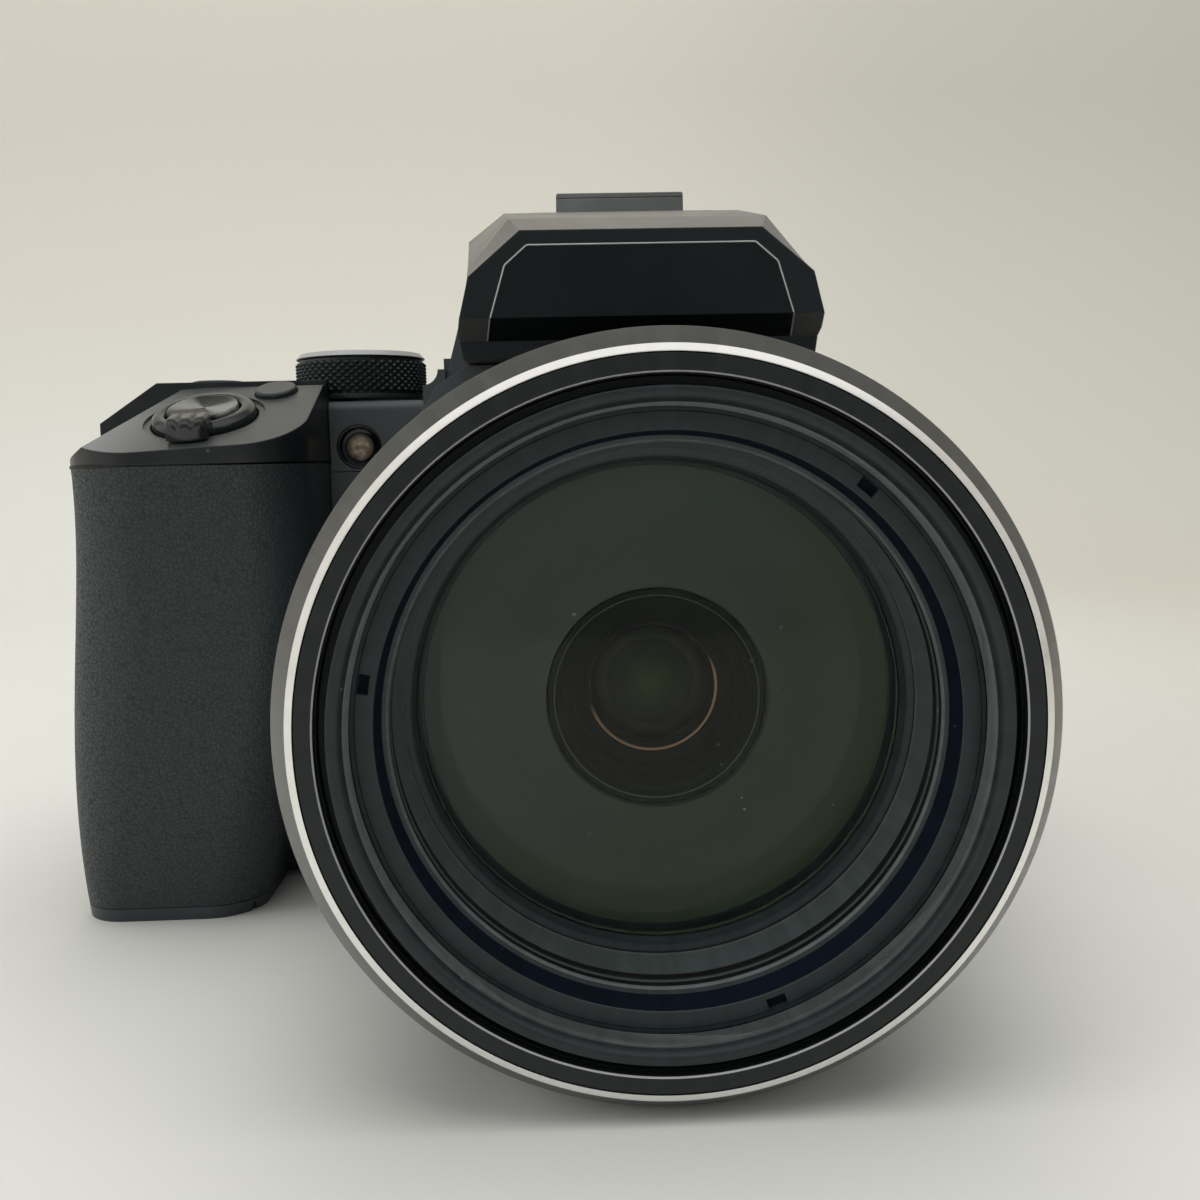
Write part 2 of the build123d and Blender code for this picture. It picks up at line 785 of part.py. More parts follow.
def make_shutter_button():
    """Dished shutter button on its stem."""
    top = Cylinder(shutter_radius, shutter_height)
    top = fillet(top.edges().sort_by(Axis.Z)[-1], shutter_travel / 2)
    dish = Pos(0, 0, shutter_height / 2 + dish_radius - shutter_travel / 2) * Sphere(dish_radius)
    return cap_frame(lever_place) * (top - dish)


def make_function_button():
    """Small round button on the slope, beside the mode dial."""
    button = Pos(0, 0, button_proud - button_height / 2) * Cylinder(function_radius, button_height)
    return cap_frame(function_place) * fillet(button.edges().sort_by(Axis.Z)[-1], button_proud / 2)


def make_power_button():
    """Round button on the crest behind the lever."""
    top = cap_top + rear_rise + button_proud
    button = upright(power_radius, top - button_height, top, power_place)
    return fillet(button.edges().sort_by(Axis.Z)[-1], button_proud / 2)


# Top dials

dial_radius = 10.5
dial_height = 7.7
dial_rise = 0.4
dial_shaft = 3.0
dial_flutes = 36
dial_flute = 0.35
command_radius = 9.0
command_height = 4.2
command_sink = 1.2


def knob(radius, z_low, z_high, place, shaft_bottom):
    """A fluted knob with a chamfered top on a shaft through the deck."""
    body = upright(radius, z_low, z_high, place)
    body = chamfer(body.edges().sort_by(Axis.Z)[-1], dial_flute * 2)
    grooves = None
    for turn in range(dial_flutes):
        angle = radians(turn * 360 / dial_flutes)
        centre = (place[0] + radius * cos(angle), place[1] + radius * sin(angle))
        groove = upright(dial_flute, z_low - wall, z_high - 2 * dial_flute, centre)
        grooves = groove if grooves is None else grooves + groove
    return body - grooves + upright(dial_shaft, shaft_bottom, z_low, place)


def make_mode_dial():
    low = deck_height + dial_rise
    return knob(dial_radius, low, low + dial_height, dial_place, deck_height - 2 * wall)


def make_command_dial():
    low = deck_height - command_sink + move_gap
    return knob(command_radius, low, low + command_height, command_place, deck_height - 2 * wall)


# Flash head

flash_front = 68.0
flash_pivot_y = -28.0
flash_knuckle = 2.4
pivot_drop = 2.6
underside_rise = 2.9
flash_foot = 22.5
flash_top_half = 14.8
flash_mid_half = 21.2
flash_wide_half = 22.8
flash_top_rise = 17.7
flash_mid_rise = 12.3
flash_wide_rise = 5.9
arch_margin = 2.1
brow_drop = 2.0
brow_length = 6.0
panel_top_half = 13.9
panel_mid_half = 16.7
panel_low_half = 19.3
panel_top_rise = 15.9
panel_mid_rise = 13.5
panel_crease_rise = 7.3
panel_low_rise = 5.1
panel_inlay = 0.6
window_thickness = 1.2
lamp_bay_half = 16.0
lamp_bay_depth = 18.0

flash_pivot_z = hump_top - pivot_drop
flash_underside = deck_height + underside_rise
flash_top_z = deck_height + flash_top_rise
flash_mid_z = deck_height + flash_mid_rise
flash_wide_z = deck_height + flash_wide_rise
flash_arch = ring_radius + arch_margin
panel_top_z = deck_height + panel_top_rise
panel_mid_z = deck_height + panel_mid_rise
panel_crease_z = deck_height + panel_crease_rise
panel_low_z = deck_height + panel_low_rise
panel_end = brow_length - flash_front
window_low = panel_low_z + move_gap
window_high = window_low + window_thickness


def flash_section(half_points, y):
    """One outline of the flash head across the camera."""
    points = both_sides(half_points)
    face = Polygon(*points, align=None)
    return Plane((0, y, 0), (1, 0, 0), (0, -1, 0)) * face


def make_flash_form():
    """The head's outer form, from its front face to its knuckle with two hinge stubs."""
    front = [(flash_foot, flash_underside), (flash_wide_half, flash_wide_z),
             (flash_mid_half, flash_mid_z), (flash_top_half, flash_top_z)]
    knuckle_top = flash_pivot_z + flash_knuckle
    rear = [(flash_wide_half, flash_underside), (hump_wide, flash_wide_z),
            (hump_shoulder, hump_shoulder_height), (hump_crown, knuckle_top)]
    brow_share = brow_length / (flash_front + flash_pivot_y)
    brow = [(a + (c - a) * brow_share, b + (d - b) * brow_share) for (a, b), (c, d) in zip(front, rear)]
    brow[-1] = (brow[-1][0] + brow_drop / 2, brow[-1][1] + brow_drop / 2)
    form = loft([flash_section(brow, brow_length - flash_front), flash_section(front, -flash_front)], ruled=True)
    form += loft([flash_section(rear, flash_pivot_y), flash_section(brow, brow_length - flash_front)], ruled=True)
    form += crosswise(flash_knuckle, -knuckle_half, knuckle_half, flash_pivot_y, flash_pivot_z)
    half = knuckle_half + ear_width
    return form - ear_pair(move_gap) + crosswise(pin_radius, -half, half, flash_pivot_y, flash_pivot_z)


def bent_front(depth):
    """The head's front from the side, upright and then turned under, at a depth below its surface."""
    slope = (panel_crease_z - panel_low_z) / brow_length
    return [(depth - flash_front, flash_top_z + cut_over),
            (depth - flash_front, panel_crease_z + depth * (1 - slope)), (panel_end, panel_low_z + depth)]


def front_sheet(near, far):
    """The layer between two depths below the head's bent front."""
    face = Polygon(*bent_front(near), *reversed(bent_front(far)), align=None)
    return side_prism(face, -flash_foot - cut_over, flash_foot + cut_over)


def underside_cut():
    """What the turned-under front leaves out below its crease."""
    front = -flash_front - cut_over
    face = Polygon((front, panel_crease_z), (-flash_front, panel_crease_z), (panel_end, panel_low_z),
                   (panel_end, flash_underside - cut_over), (front, flash_underside - cut_over), align=None)
    return side_prism(face, -flash_foot - cut_over, flash_foot + cut_over)


def make_flash_head():
    """Hinged flash head: bezel, roof and sides."""
    head = make_flash_form()
    head -= lens_rod(flash_arch, 0, lens_reach + flash_pivot_y + flash_knuckle)
    head -= underside_cut()
    head -= panel_form(seam) & front_sheet(-cut_over, panel_inlay)
    head -= block(*lamp_span(seam), (flash_underside - cut_over, window_high + seam))
    head -= block(*lamp_span(seam), (window_low, panel_mid_z + seam))
    return head


pin_radius = 0.9
knuckle_half = 14.0
ear_width = 3.0
ear_radius = 2.0


def ear_pair(grow):
    """Two ears of the hump beside the head's knuckle, round its hinge stubs."""
    pair = None
    for side in (1, -1):
        start, end = knuckle_half + seat_gap - grow, knuckle_half + seat_gap + ear_width + grow
        low, high = sorted((side * start, side * end))
        ear = crosswise(ear_radius + grow, low, high, flash_pivot_y, flash_pivot_z)
        pair = ear if pair is None else pair + ear
    return pair


def ear_webs():
    """Webs that join the ears to the hump below the pin."""
    pair = None
    for side in (1, -1):
        low, high = sorted((side * (knuckle_half + seat_gap), side * (knuckle_half + seat_gap + ear_width)))
        web = block((low, high), (flash_pivot_y, wall - hump_front), (flash_pivot_z - ear_radius, flash_pivot_z))
        pair = web if pair is None else pair + web
    return pair


def panel_form(grow):
    """The front panel's outline, run through the head's front."""
    half = [(panel_low_half + grow, flash_underside - cut_over), (panel_low_half + grow, panel_low_z),
            (panel_mid_half + grow, panel_mid_z), (panel_top_half + grow, panel_top_z + grow)]
    return front_prism(Polygon(*both_sides(half), align=None), -flash_front - cut_over, panel_end)


def make_flash_panel():
    """Glossy plate on the head's front, bent under with it."""
    ahead = block((-flash_foot, flash_foot), (-flash_front - cut_over, panel_end - seam),
                  (flash_underside - cut_over, flash_top_z))
    return panel_form(0) & front_sheet(0, panel_inlay - seam) & ahead


def lamp_span(grow):
    """Limits of the lamp and its window in plan, behind the panel."""
    y_front = panel_end + wall / 2
    return (-lamp_bay_half - grow, lamp_bay_half + grow), (y_front - grow, y_front + lamp_bay_depth + grow)


def make_flash_window():
    """Diffuser in the head's underside, facing forwards when the head is up."""
    return block(*lamp_span(0), (window_low, window_high))


def make_flash_lamp():
    """Reflector unit with the lamp inside the head, over the window."""
    x_span, y_span = lamp_span(0)
    low = window_high + seam
    unit = block(x_span, y_span, (low, panel_mid_z))
    middle = (y_span[0] + y_span[1]) / 2
    return unit - crosswise(2 * wall, x_span[0] + wall, x_span[1] - wall, middle, low)


def flash_room():
    """Clearance that the head's knuckle needs in the fixed hump."""
    return crosswise(flash_knuckle + move_gap, -hump_base, hump_base, flash_pivot_y, flash_pivot_z)


# Accessory shoe

shoe_half = 9.95
shoe_front = 23.6
shoe_length = 19.6
shoe_plate = 0.9
shoe_slot_half = 9.35
shoe_mouth_half = 6.3
shoe_slot = 2.0
shoe_rail = 0.8
cover_lift = 0.7


def shoe_span():
    return -shoe_front, shoe_length - shoe_front


def shoe_recess():
    y_front, y_back = shoe_span()
    return block((-shoe_half - seam, shoe_half + seam), (y_front - seam, y_back + seam),
                 (hump_top - shoe_plate, hump_top + cut_over))


def make_accessory_shoe():
    """Bent metal shoe: a plate with two inward rails and a front wall."""
    y_front, y_back = shoe_span()
    top = hump_top + shoe_slot + shoe_rail
    profile = [(shoe_half, hump_top - shoe_plate), (shoe_half, top), (shoe_mouth_half, top),
               (shoe_mouth_half, top - shoe_rail), (shoe_slot_half, top - shoe_rail), (shoe_slot_half, hump_top)]
    shoe = front_prism(Polygon(*both_sides(profile), align=None), y_front, y_back)
    stop = block((-shoe_half, shoe_half), (y_front, y_front + shoe_rail), (hump_top - shoe_plate, top))
    return shoe + stop


def make_shoe_cover():
    """Slide-on cover: a foot in the slot and a low cap over the rails."""
    y_front, y_back = shoe_span()
    foot_half = shoe_slot_half - seat_gap
    rail_top = hump_top + shoe_slot + shoe_rail
    neck_half = shoe_mouth_half - seat_gap
    start = y_front + shoe_rail + seat_gap
    foot = block((-foot_half, foot_half), (start, y_back), (hump_top + seat_gap, hump_top + shoe_slot - seat_gap))
    neck = block((-neck_half, neck_half), (start, y_back), (hump_top + seat_gap, rail_top + cover_lift))
    lid = block((-shoe_half, shoe_half), (y_front, y_back),
                (rail_top + running_gap, rail_top + cover_lift + running_gap))
    lid = fillet(lid.edges().filter_by(Axis.Y).sort_by(Axis.Z)[-2:], cover_lift / 2)
    return foot + neck + lid


# Viewfinder

eyecup_half = 19.0
eyecup_rise = 1.0
eyecup_drop = 2.4
eyecup_length = 13.8
eyecup_lip = 3.0
eyecup_hollow = 5.5
eyecup_radius = 7.0
display_thickness = 2.0
diopter_radius = 5.0
diopter_width = 3.0
diopter_y = 24.0
diopter_rise = 15.5

eyecup_low = deck_height + eyecup_rise
eyecup_high = hump_top - eyecup_drop
diopter_z = deck_height + diopter_rise


def eyecup_face(inset):
    points = [(eyecup_half, eyecup_low), (eyecup_half, eyecup_high), (-eyecup_half, eyecup_high),
              (-eyecup_half, eyecup_low)]
    face = rounded_face(points, [eyecup_radius] * 4)
    return offset(face, amount=-inset) if inset else face


def eyepiece_seat():
    """Pocket in the hump's back for the eyecup's plug."""
    half = tunnel_width / 2 + wall
    return block((-half, half), (body_back - 2 * wall, body_back + cut_over),
                 (tunnel_base - wall, tunnel_base + tunnel_height))


def make_eyecup():
    """Rubber cup round the eyepiece, with a plug that seats in the hump's back."""
    back = body_back + wall + eyecup_length
    cup = front_prism(eyecup_face(0), body_back + wall + seam, back)
    cup -= front_prism(eyecup_face(eyecup_lip), back - eyecup_hollow, back + cut_over)
    plug = block((-tunnel_width / 2 - wall + seam, tunnel_width / 2 + wall - seam),
                 (body_back - 2 * wall + seam, body_back + 2 * wall),
                 (tunnel_base - wall + seam, tunnel_base + tunnel_height - seam))
    cup += plug
    half = tunnel_width / 2 - wall
    cup -= block((-half, half), (body_back - 3 * wall, back + cut_over),
                 (tunnel_base + wall, tunnel_base + tunnel_height - wall))
    return cup


def make_eyepiece_lens():
    half = tunnel_width / 2 - wall - seat_gap
    back = body_back + wall + eyecup_length - eyecup_hollow - wall
    return block((-half, half), (back - 2 * wall, back),
                 (tunnel_base + wall + seat_gap, tunnel_base + tunnel_height - wall - seat_gap))


def make_viewfinder_display():
    half = tunnel_width / 2 - seat_gap
    front = wall - hump_front + seat_gap
    return block((-half, half), (front, front + display_thickness),
                 (tunnel_base + seat_gap, tunnel_base + tunnel_height - seat_gap))


def diopter_room():
    return crosswise(diopter_radius + move_gap, hump_wide - diopter_width, hump_base + cut_over, diopter_y, diopter_z)


def make_diopter_dial():
    """Small wheel on the hump's side."""
    x = hump_wide - diopter_width + seat_gap
    wheel = crosswise(diopter_radius, x, x + diopter_width + wall / 2, diopter_y, diopter_z)
    return chamfer(wheel.edges().sort_by(Axis.X)[-1], wall / 4)


flash_button_y = 2.0
flash_button_rise = 13.5
flash_button_radius = 2.6
flash_button_sink = 2.6

flash_button_place = (flash_button_y, deck_height + flash_button_rise)


def flash_button_room():
    y, z = flash_button_place
    return crosswise(flash_button_radius + button_gap, hump_wide - flash_button_sink, hump_base + cut_over, y, z)


def make_flash_button():
    """Push button on the hump's side that lifts the flash."""
    y, z = flash_button_place
    start = hump_wide - flash_button_sink + button_travel + move_gap
    button = crosswise(flash_button_radius, start, start + flash_button_sink + button_proud, y, z)
    return fillet(button.edges().sort_by(Axis.X)[-1], button_proud / 2)


# Barrel controls

pod_front = 44.0
pod_back = 8.0
pod_drop = 11.6
pod_rise = 16.4
pod_proud = 4.9
rocker_size = (4.0, 17.0, 9.0)
rocker_offset = (24.0, 7.4)
rocker_swing = 6.0
snap_offset = (27.0, -5.1)
snap_radius = 2.8
side_dial_offset = (15.0, -5.1)
side_dial_radius = 5.0
side_dial_width = 3.6

pod_x = barrel_radius + pod_proud
pod_low = lens_height - pod_drop
pod_high = lens_height + pod_rise


def pod_place(offset):
    """A place on the pod, as (y, z), from its distances before the body and over the axis."""
    ahead, over = offset
    return -body_front - ahead, lens_height + over


rocker_place = pod_place(rocker_offset)
snap_place = pod_place(snap_offset)
side_dial_place = pod_place(side_dial_offset)


def control_pod():
    """Raised pod on the barrel's side with the rooms of the rocker, button and side dial."""
    front, back = -body_front - pod_front, -body_front - pod_back
    face = rounded_face([(front, pod_low), (front, pod_high), (back, pod_high), (back, pod_low)], [4 * wall] * 4)
    pod = side_prism(face, sqrt(barrel_radius ** 2 - (pod_high - lens_height) ** 2) - wall, pod_x)
    pod -= lens_rod(barrel_radius - wall / 4, 0, barrel_length + wall)
    y, z = rocker_place
    wide, long, tall = rocker_size
    pod -= block((pod_x - wide, pod_x + cut_over), (y - long / 2 - move_gap, y + long / 2 + move_gap),
                 (z - tall / 2 - move_gap, z + tall / 2 + move_gap))
    pod -= crosswise(snap_radius + button_gap, pod_x - button_height, pod_x + cut_over, *snap_place)
    pod -= crosswise(side_dial_radius + move_gap, pod_x - side_dial_width, pod_x + cut_over, *side_dial_place)
    return pod


def make_zoom_rocker():
    """Rocking key for the zoom, with a raised end at front and back."""
    y, z = rocker_place
    wide, long, tall = rocker_size
    base = pod_x - wide + wide / 4
    foot = long / 2 - wall / 4
    face = Polygon(
        (base, y - foot), (base, y + foot), (pod_x + wall / 2, y + long / 2),
        (pod_x - wall / 4, y), (pod_x + wall / 2, y - long / 2), align=None)
    key = plan_prism(face, z - tall / 2, z + tall / 2)
    return key


def make_snap_button():
    start = pod_x - button_height + button_travel + move_gap
    button = crosswise(snap_radius, start, pod_x + button_proud, *snap_place)
    return fillet(button.edges().sort_by(Axis.X)[-1], button_proud / 2)


def make_side_dial():
    start = pod_x - side_dial_width + seat_gap
    wheel = crosswise(side_dial_radius, start, pod_x + wall, *side_dial_place)
    return chamfer(wheel.edges().sort_by(Axis.X)[-1], wall / 4)


# Rear side

monitor_recess = 6.0
monitor_left = -31.0
monitor_margin = 5.5
monitor_low = 9.0
monitor_drop = 3.4
monitor_thickness = 5.6
monitor_rim = 4.0
screen_thickness = 1.0
hinge_radius = 2.4
hinge_half = 9.0
ear_half = 14.0
hinge_margin = 3.5
hinge_sink = 2.6
rear_button_radius = 3.2
key_x = -38.5
record_rise = 5.2
play_drop = 18.4
menu_place = (-45.0, 12.0)
delete_place = (-59.0, 12.0)
selector_place = (-52.0, 31.0)
selector_radius = 10.5
selector_bore = 4.5
selector_height = 3.6
thumb_width = 26.0
thumb_height = 22.0
thumb_thickness = 2.2
thumb_margin = 3.2
board_margin = 9.0
board_left = -34.0
board_low = 8.0
board_drop = 4.4
board_clearance = 2.6
board_thickness = 1.6
sensor_half_x = 11.0
sensor_half_z = 9.0

monitor_x = (monitor_left, body_side - monitor_margin)
monitor_z = (monitor_low, deck_seam - monitor_drop)
hinge_x = body_side - hinge_margin
hinge_y = body_back - hinge_sink
record_place = (key_x, deck_seam + record_rise)
play_place = (key_x, deck_seam - play_drop)
thumb_x = thumb_margin - body_left
thumb_z = deck_seam - thumb_height
board_x = (board_left, body_side - board_margin)
board_z = (board_low, deck_seam - board_drop)
board_front = drum_back - lens_reach + board_clearance
board_back = board_front + board_thickness


def rear_holes():
    """Every round hole for the rear keys, as (x, z, radius)."""
    small = [record_place, play_place, menu_place, delete_place]
    holes = [(x, z, rear_button_radius + button_gap) for x, z in small]
    return holes + [(*selector_place, selector_radius + running_gap)]


def rear_button(place, radius):
    """A round key in the rear cover."""
    x, z = place
    button = lengthwise(radius, body_back - button_height + button_proud, body_back + button_proud, x, z)
    return fillet(button.edges().sort_by(Axis.Y)[-1], button_proud / 2)


def make_selector_ring():
    """Turning ring round the centre key, with a finger groove."""
    x, z = selector_place
    top = body_back + button_proud
    ring = lengthwise(selector_radius, top - selector_height, top, x, z)
    groove = lengthwise(selector_radius - wall, top - button_proud, top + wall, x, z)
    inner = lengthwise(selector_bore + wall, top - wall, top + wall, x, z)
    ring -= groove - inner
    return ring - lengthwise(selector_bore + running_gap, top - 2 * selector_height, top + wall, x, z)


def make_selector_button():
    x, z = selector_place
    top = body_back + button_proud
    key = lengthwise(selector_bore, top - selector_height, top + button_proud / 2, x, z)
    return fillet(key.edges().sort_by(Axis.Y)[-1], button_proud / 2)


def hinge_ears():
    """Fixed ears above and below the monitor's hinge barrel."""
    z = (monitor_z[0] + monitor_z[1]) / 2
    pair = None
    for low, high in ((z - ear_half, z - hinge_half - move_gap), (z + hinge_half + move_gap, z + ear_half)):
        ear = upright(hinge_radius, low, high, (hinge_x, hinge_y))
        ear += block((hinge_x - hinge_radius / 2, hinge_x + hinge_radius / 2),
                     (body_back - monitor_recess - seam, hinge_y), (low, high))
        pair = ear if pair is None else pair + ear
    return pair


def make_monitor_hinge():
    """Upright barrel and arm that carry the monitor."""
    z = (monitor_z[0] + monitor_z[1]) / 2
    barrel = upright(hinge_radius, z - hinge_half, z + hinge_half, (hinge_x, hinge_y))
    arm = block((monitor_x[1] - 4 * hinge_radius, hinge_x),
                (hinge_y - hinge_radius / 2, hinge_y + hinge_radius / 2), (z - hinge_half, z + hinge_half))
    return barrel + arm


def make_monitor():
    """Monitor housing, open at its back for the screen glass."""
    y_front = body_back - monitor_recess + seat_gap
    y_back = y_front + monitor_thickness
    shell = block(monitor_x, (y_front, y_back), monitor_z)
    shell = fillet(shell.edges().filter_by(Axis.Y), edge_radius)
    shell -= block((monitor_x[0] + monitor_rim, monitor_x[1] - 2 * monitor_rim),
                   (y_back - screen_thickness - seam, y_back + wall),
                   (monitor_z[0] + monitor_rim, monitor_z[1] - monitor_rim))
    z = (monitor_z[0] + monitor_z[1]) / 2
    notch = block((hinge_x - hinge_radius - move_gap, monitor_x[1] + wall), (y_front - wall, y_back + wall),
                  (z - ear_half - move_gap, z + ear_half + move_gap))
    slot = block((monitor_x[1] - 4 * hinge_radius - seam, monitor_x[1] + wall),
                 (hinge_y - hinge_radius / 2 - seam, hinge_y + hinge_radius / 2 + seam),
                 (z - hinge_half - seam, z + hinge_half + seam))
    return shell - notch - slot


def make_monitor_screen():
    y_back = body_back - monitor_recess + seat_gap + monitor_thickness
    rim = monitor_rim + seam
    return block((monitor_x[0] + rim, monitor_x[1] - monitor_rim - rim), (y_back - screen_thickness, y_back),
                 (monitor_z[0] + rim, monitor_z[1] - rim))


def make_thumb_rest():
    """Rubber pad for the thumb on the back."""
    face = rounded_face(
        [(thumb_x, thumb_z), (thumb_x + thumb_width, thumb_z), (thumb_x + thumb_width, thumb_z + thumb_height * 0.7),
         (thumb_x + thumb_width / 2, thumb_z + thumb_height), (thumb_x, thumb_z + thumb_height)], [edge_radius] * 5)
    pad = front_prism(face, body_back + seam, body_back + thumb_thickness)
    return chamfer(pad.edges().sort_by(Axis.Y)[-10:], thumb_thickness / 3)


def make_main_board():
    board = block(board_x, (board_front, board_back), board_z)
    chip = block((-boss_radius * 3, boss_radius * 3), (board_back, board_back + wall / 2),
                 (lens_height - boss_radius * 3, lens_height + boss_radius * 3))
    return board + chip


def make_image_sensor():
    front = drum_back - lens_reach + seat_gap
    return block((-sensor_half_x, sensor_half_x), (front, board_front - seat_gap),
                 (lens_height - sensor_half_z, lens_height + sensor_half_z))


# Connector cover on the photographer's left

port_y = (-13.2, 0.8)
port_low = 22.0
port_drop = 16.4
port_depth = 8.0
cover_thickness = 1.4

port_z = (port_low, deck_seam - port_drop)


def connector_window(grow):
    return block((body_side - 4 * wall, body_side + cut_over), (port_y[0] - grow, port_y[1] + grow),
                 (port_z[0] - grow, port_z[1] + grow))


def make_connector_block():
    """Socket block behind the cover, with two sockets."""
    face_x = body_side - cover_thickness - move_gap
    unit = block((face_x - port_depth, face_x), port_y, port_z)
    y = (port_y[0] + port_y[1]) / 2
    share = (port_z[1] - port_z[0]) / 4
    for z in (port_z[0] + share, port_z[1] - share):
        unit -= block((face_x - port_depth + wall, face_x + wall), (y - wall, y + wall), (z - share / 2, z + share / 2))
    return unit


def make_connector_cover():
    """Rubber-edged cover hinged along its front side."""
    face = rounded_face([(port_y[0], port_z[0]), (port_y[1], port_z[0]), (port_y[1], port_z[1]),
                         (port_y[0], port_z[1])], [wall] * 4)
    return side_prism(face, body_side - cover_thickness, body_side)


# Strap lugs

lug_width = 12.0
lug_reach = 4.0
lug_thickness = 2.4
lug_slot = 1.6
lug_drop = 27.0
lug_y = 12.0

lug_z = deck_height - lug_drop


def make_strap_lugs():
    """A slotted metal lug on each side of the body."""
    lugs = []
    for side, edge in ((1, body_side), (-1, -body_left)):
        outer = edge + side * lug_reach
        low, high = min(edge + side * seam, outer), max(edge + side * seam, outer)
        lug = block((low, high), (lug_y - lug_width / 2, lug_y + lug_width / 2), (lug_z, lug_z + lug_thickness))
        slot_x = (edge + 2 * outer) / 3
        lug -= block((slot_x - lug_slot / 2, slot_x + lug_slot / 2),
                     (lug_y - lug_width / 2 + wall, lug_y + lug_width / 2 - wall), (lug_z - wall, lug_z + 2 * wall))
        lugs.append(lug)
    return Compound(children=lugs)


def save(node, shape):
    export_step(shape, f"parts/{node}.step")
    print(node)


def build_all():
    os.makedirs("parts", exist_ok=True)
    shell = body_shell()
    makers = {
        "fixed_barrel": make_fixed_barrel, "front_ring": make_front_ring, "face_ring": make_face_ring,
        "middle_barrel": make_middle_barrel, "front_barrel": make_front_barrel, "lens_bezel": make_lens_bezel,
        "front_lens": make_front_lens, "front_cell": make_front_cell, "zoom_cell": make_zoom_cell,
        "trim_ring": make_trim_ring, "zoom_lens": make_zoom_lens, "lens_housing": make_lens_housing,
        "rear_lens": make_rear_lens, "image_sensor": make_image_sensor, "main_board": make_main_board,
        "bottom_cover": make_bottom_cover, "tripod_bush": make_tripod_bush, "housing_screws": make_housing_screws,
        "grip_frame": make_grip_frame, "grip_rubber": make_grip_rubber, "grip_cap": make_grip_cap,
        "battery": make_battery, "battery_door": make_battery_door, "zoom_lever": make_zoom_lever,
        "shutter_button": make_shutter_button, "mode_dial": make_mode_dial, "command_dial": make_command_dial,
        "flash_head": make_flash_head, "flash_panel": make_flash_panel, "flash_window": make_flash_window,
        "flash_lamp": make_flash_lamp, "accessory_shoe": make_accessory_shoe, "shoe_cover": make_shoe_cover,
        "eyecup": make_eyecup, "eyepiece_lens": make_eyepiece_lens, "viewfinder_display": make_viewfinder_display,
        "diopter_dial": make_diopter_dial, "flash_button": make_flash_button,
        "zoom_rocker": make_zoom_rocker, "snap_button": make_snap_button, "side_dial": make_side_dial,
        "function_button": make_function_button, "power_button": make_power_button,
        "selector_ring": make_selector_ring, "selector_button": make_selector_button,
        "monitor_hinge": make_monitor_hinge, "monitor": make_monitor, "monitor_screen": make_monitor_screen,
        "thumb_rest": make_thumb_rest, "assist_lamp": make_assist_lamp, "connector_block": make_connector_block,
        "connector_cover": make_connector_cover, "strap_lugs": make_strap_lugs,
    }
    for node, make in makers.items():
        save(node, make())
    save("front_cover", make_front_cover(shell))
    save("rear_cover", make_rear_cover(shell))
    save("top_cover", make_top_cover(shell))
    for node, place in (("record_button", record_place), ("play_button", play_place),
                        ("menu_button", menu_place), ("delete_button", delete_place)):
        save(node, rear_button(place, rear_button_radius))


build_all()
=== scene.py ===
import math
from types import SimpleNamespace

import bmesh
import bpy
from mathutils import Matrix, Vector


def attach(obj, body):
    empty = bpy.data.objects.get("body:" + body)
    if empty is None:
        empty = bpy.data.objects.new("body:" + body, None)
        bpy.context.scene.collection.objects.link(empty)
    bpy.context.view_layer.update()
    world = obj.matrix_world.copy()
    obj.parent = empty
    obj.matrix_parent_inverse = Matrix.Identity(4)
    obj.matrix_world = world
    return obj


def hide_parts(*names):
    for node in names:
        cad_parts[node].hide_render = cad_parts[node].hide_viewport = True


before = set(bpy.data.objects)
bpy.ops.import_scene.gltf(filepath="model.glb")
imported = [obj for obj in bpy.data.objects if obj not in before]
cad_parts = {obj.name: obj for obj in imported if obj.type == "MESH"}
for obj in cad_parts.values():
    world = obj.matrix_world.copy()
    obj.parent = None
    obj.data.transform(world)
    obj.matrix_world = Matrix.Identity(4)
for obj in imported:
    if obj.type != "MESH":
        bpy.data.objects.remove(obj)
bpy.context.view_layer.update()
mm = 0.001
pole = 0.02  # radius of the pinhole in the middle of a turned part
print("frame loaded")

# where the lens axis lies, and the plane of the front ring; sizes are in millimetres all through
lens = {"axisHeight": 41.6, "ringFront": -100.0, "turnSteps": 256}


def seatAt(x, y, z, *turns):
    seat = Matrix.Translation((x, y, z))
    for axis, degrees in turns:
        seat = seat @ Matrix.Rotation(math.radians(degrees), 4, axis)
    return seat


# seats: local Z is the part's own axis
level = seatAt(0, 0, 0)
upright = seatAt(0, 0, 0, ("X", 90))
lensSeat = seatAt(0, lens["ringFront"], lens["axisHeight"], ("X", -90))
capSeat = seatAt(-62.2, -38.2, 76.958, ("X", 22.9), ("Y", -2.7))


# a piece's dictionary, read as d.radius
def sizesOf(piece):
    return SimpleNamespace(**piece)


def addObject(name, data):
    item = bpy.data.objects.new(name, data)
    bpy.context.scene.collection.objects.link(item)
    return item


# camera: place in metres, turns in degrees, focal length in pixels of the picture
cameraPose = {"place": (-0.01119, -0.21821, 0.06908), "pitch": -6.5185, "yaw": -1.9725, "roll": 1.2895,
              "focal": 1205.06, "picture": 1200, "sensor": 36, "near": 0.01}


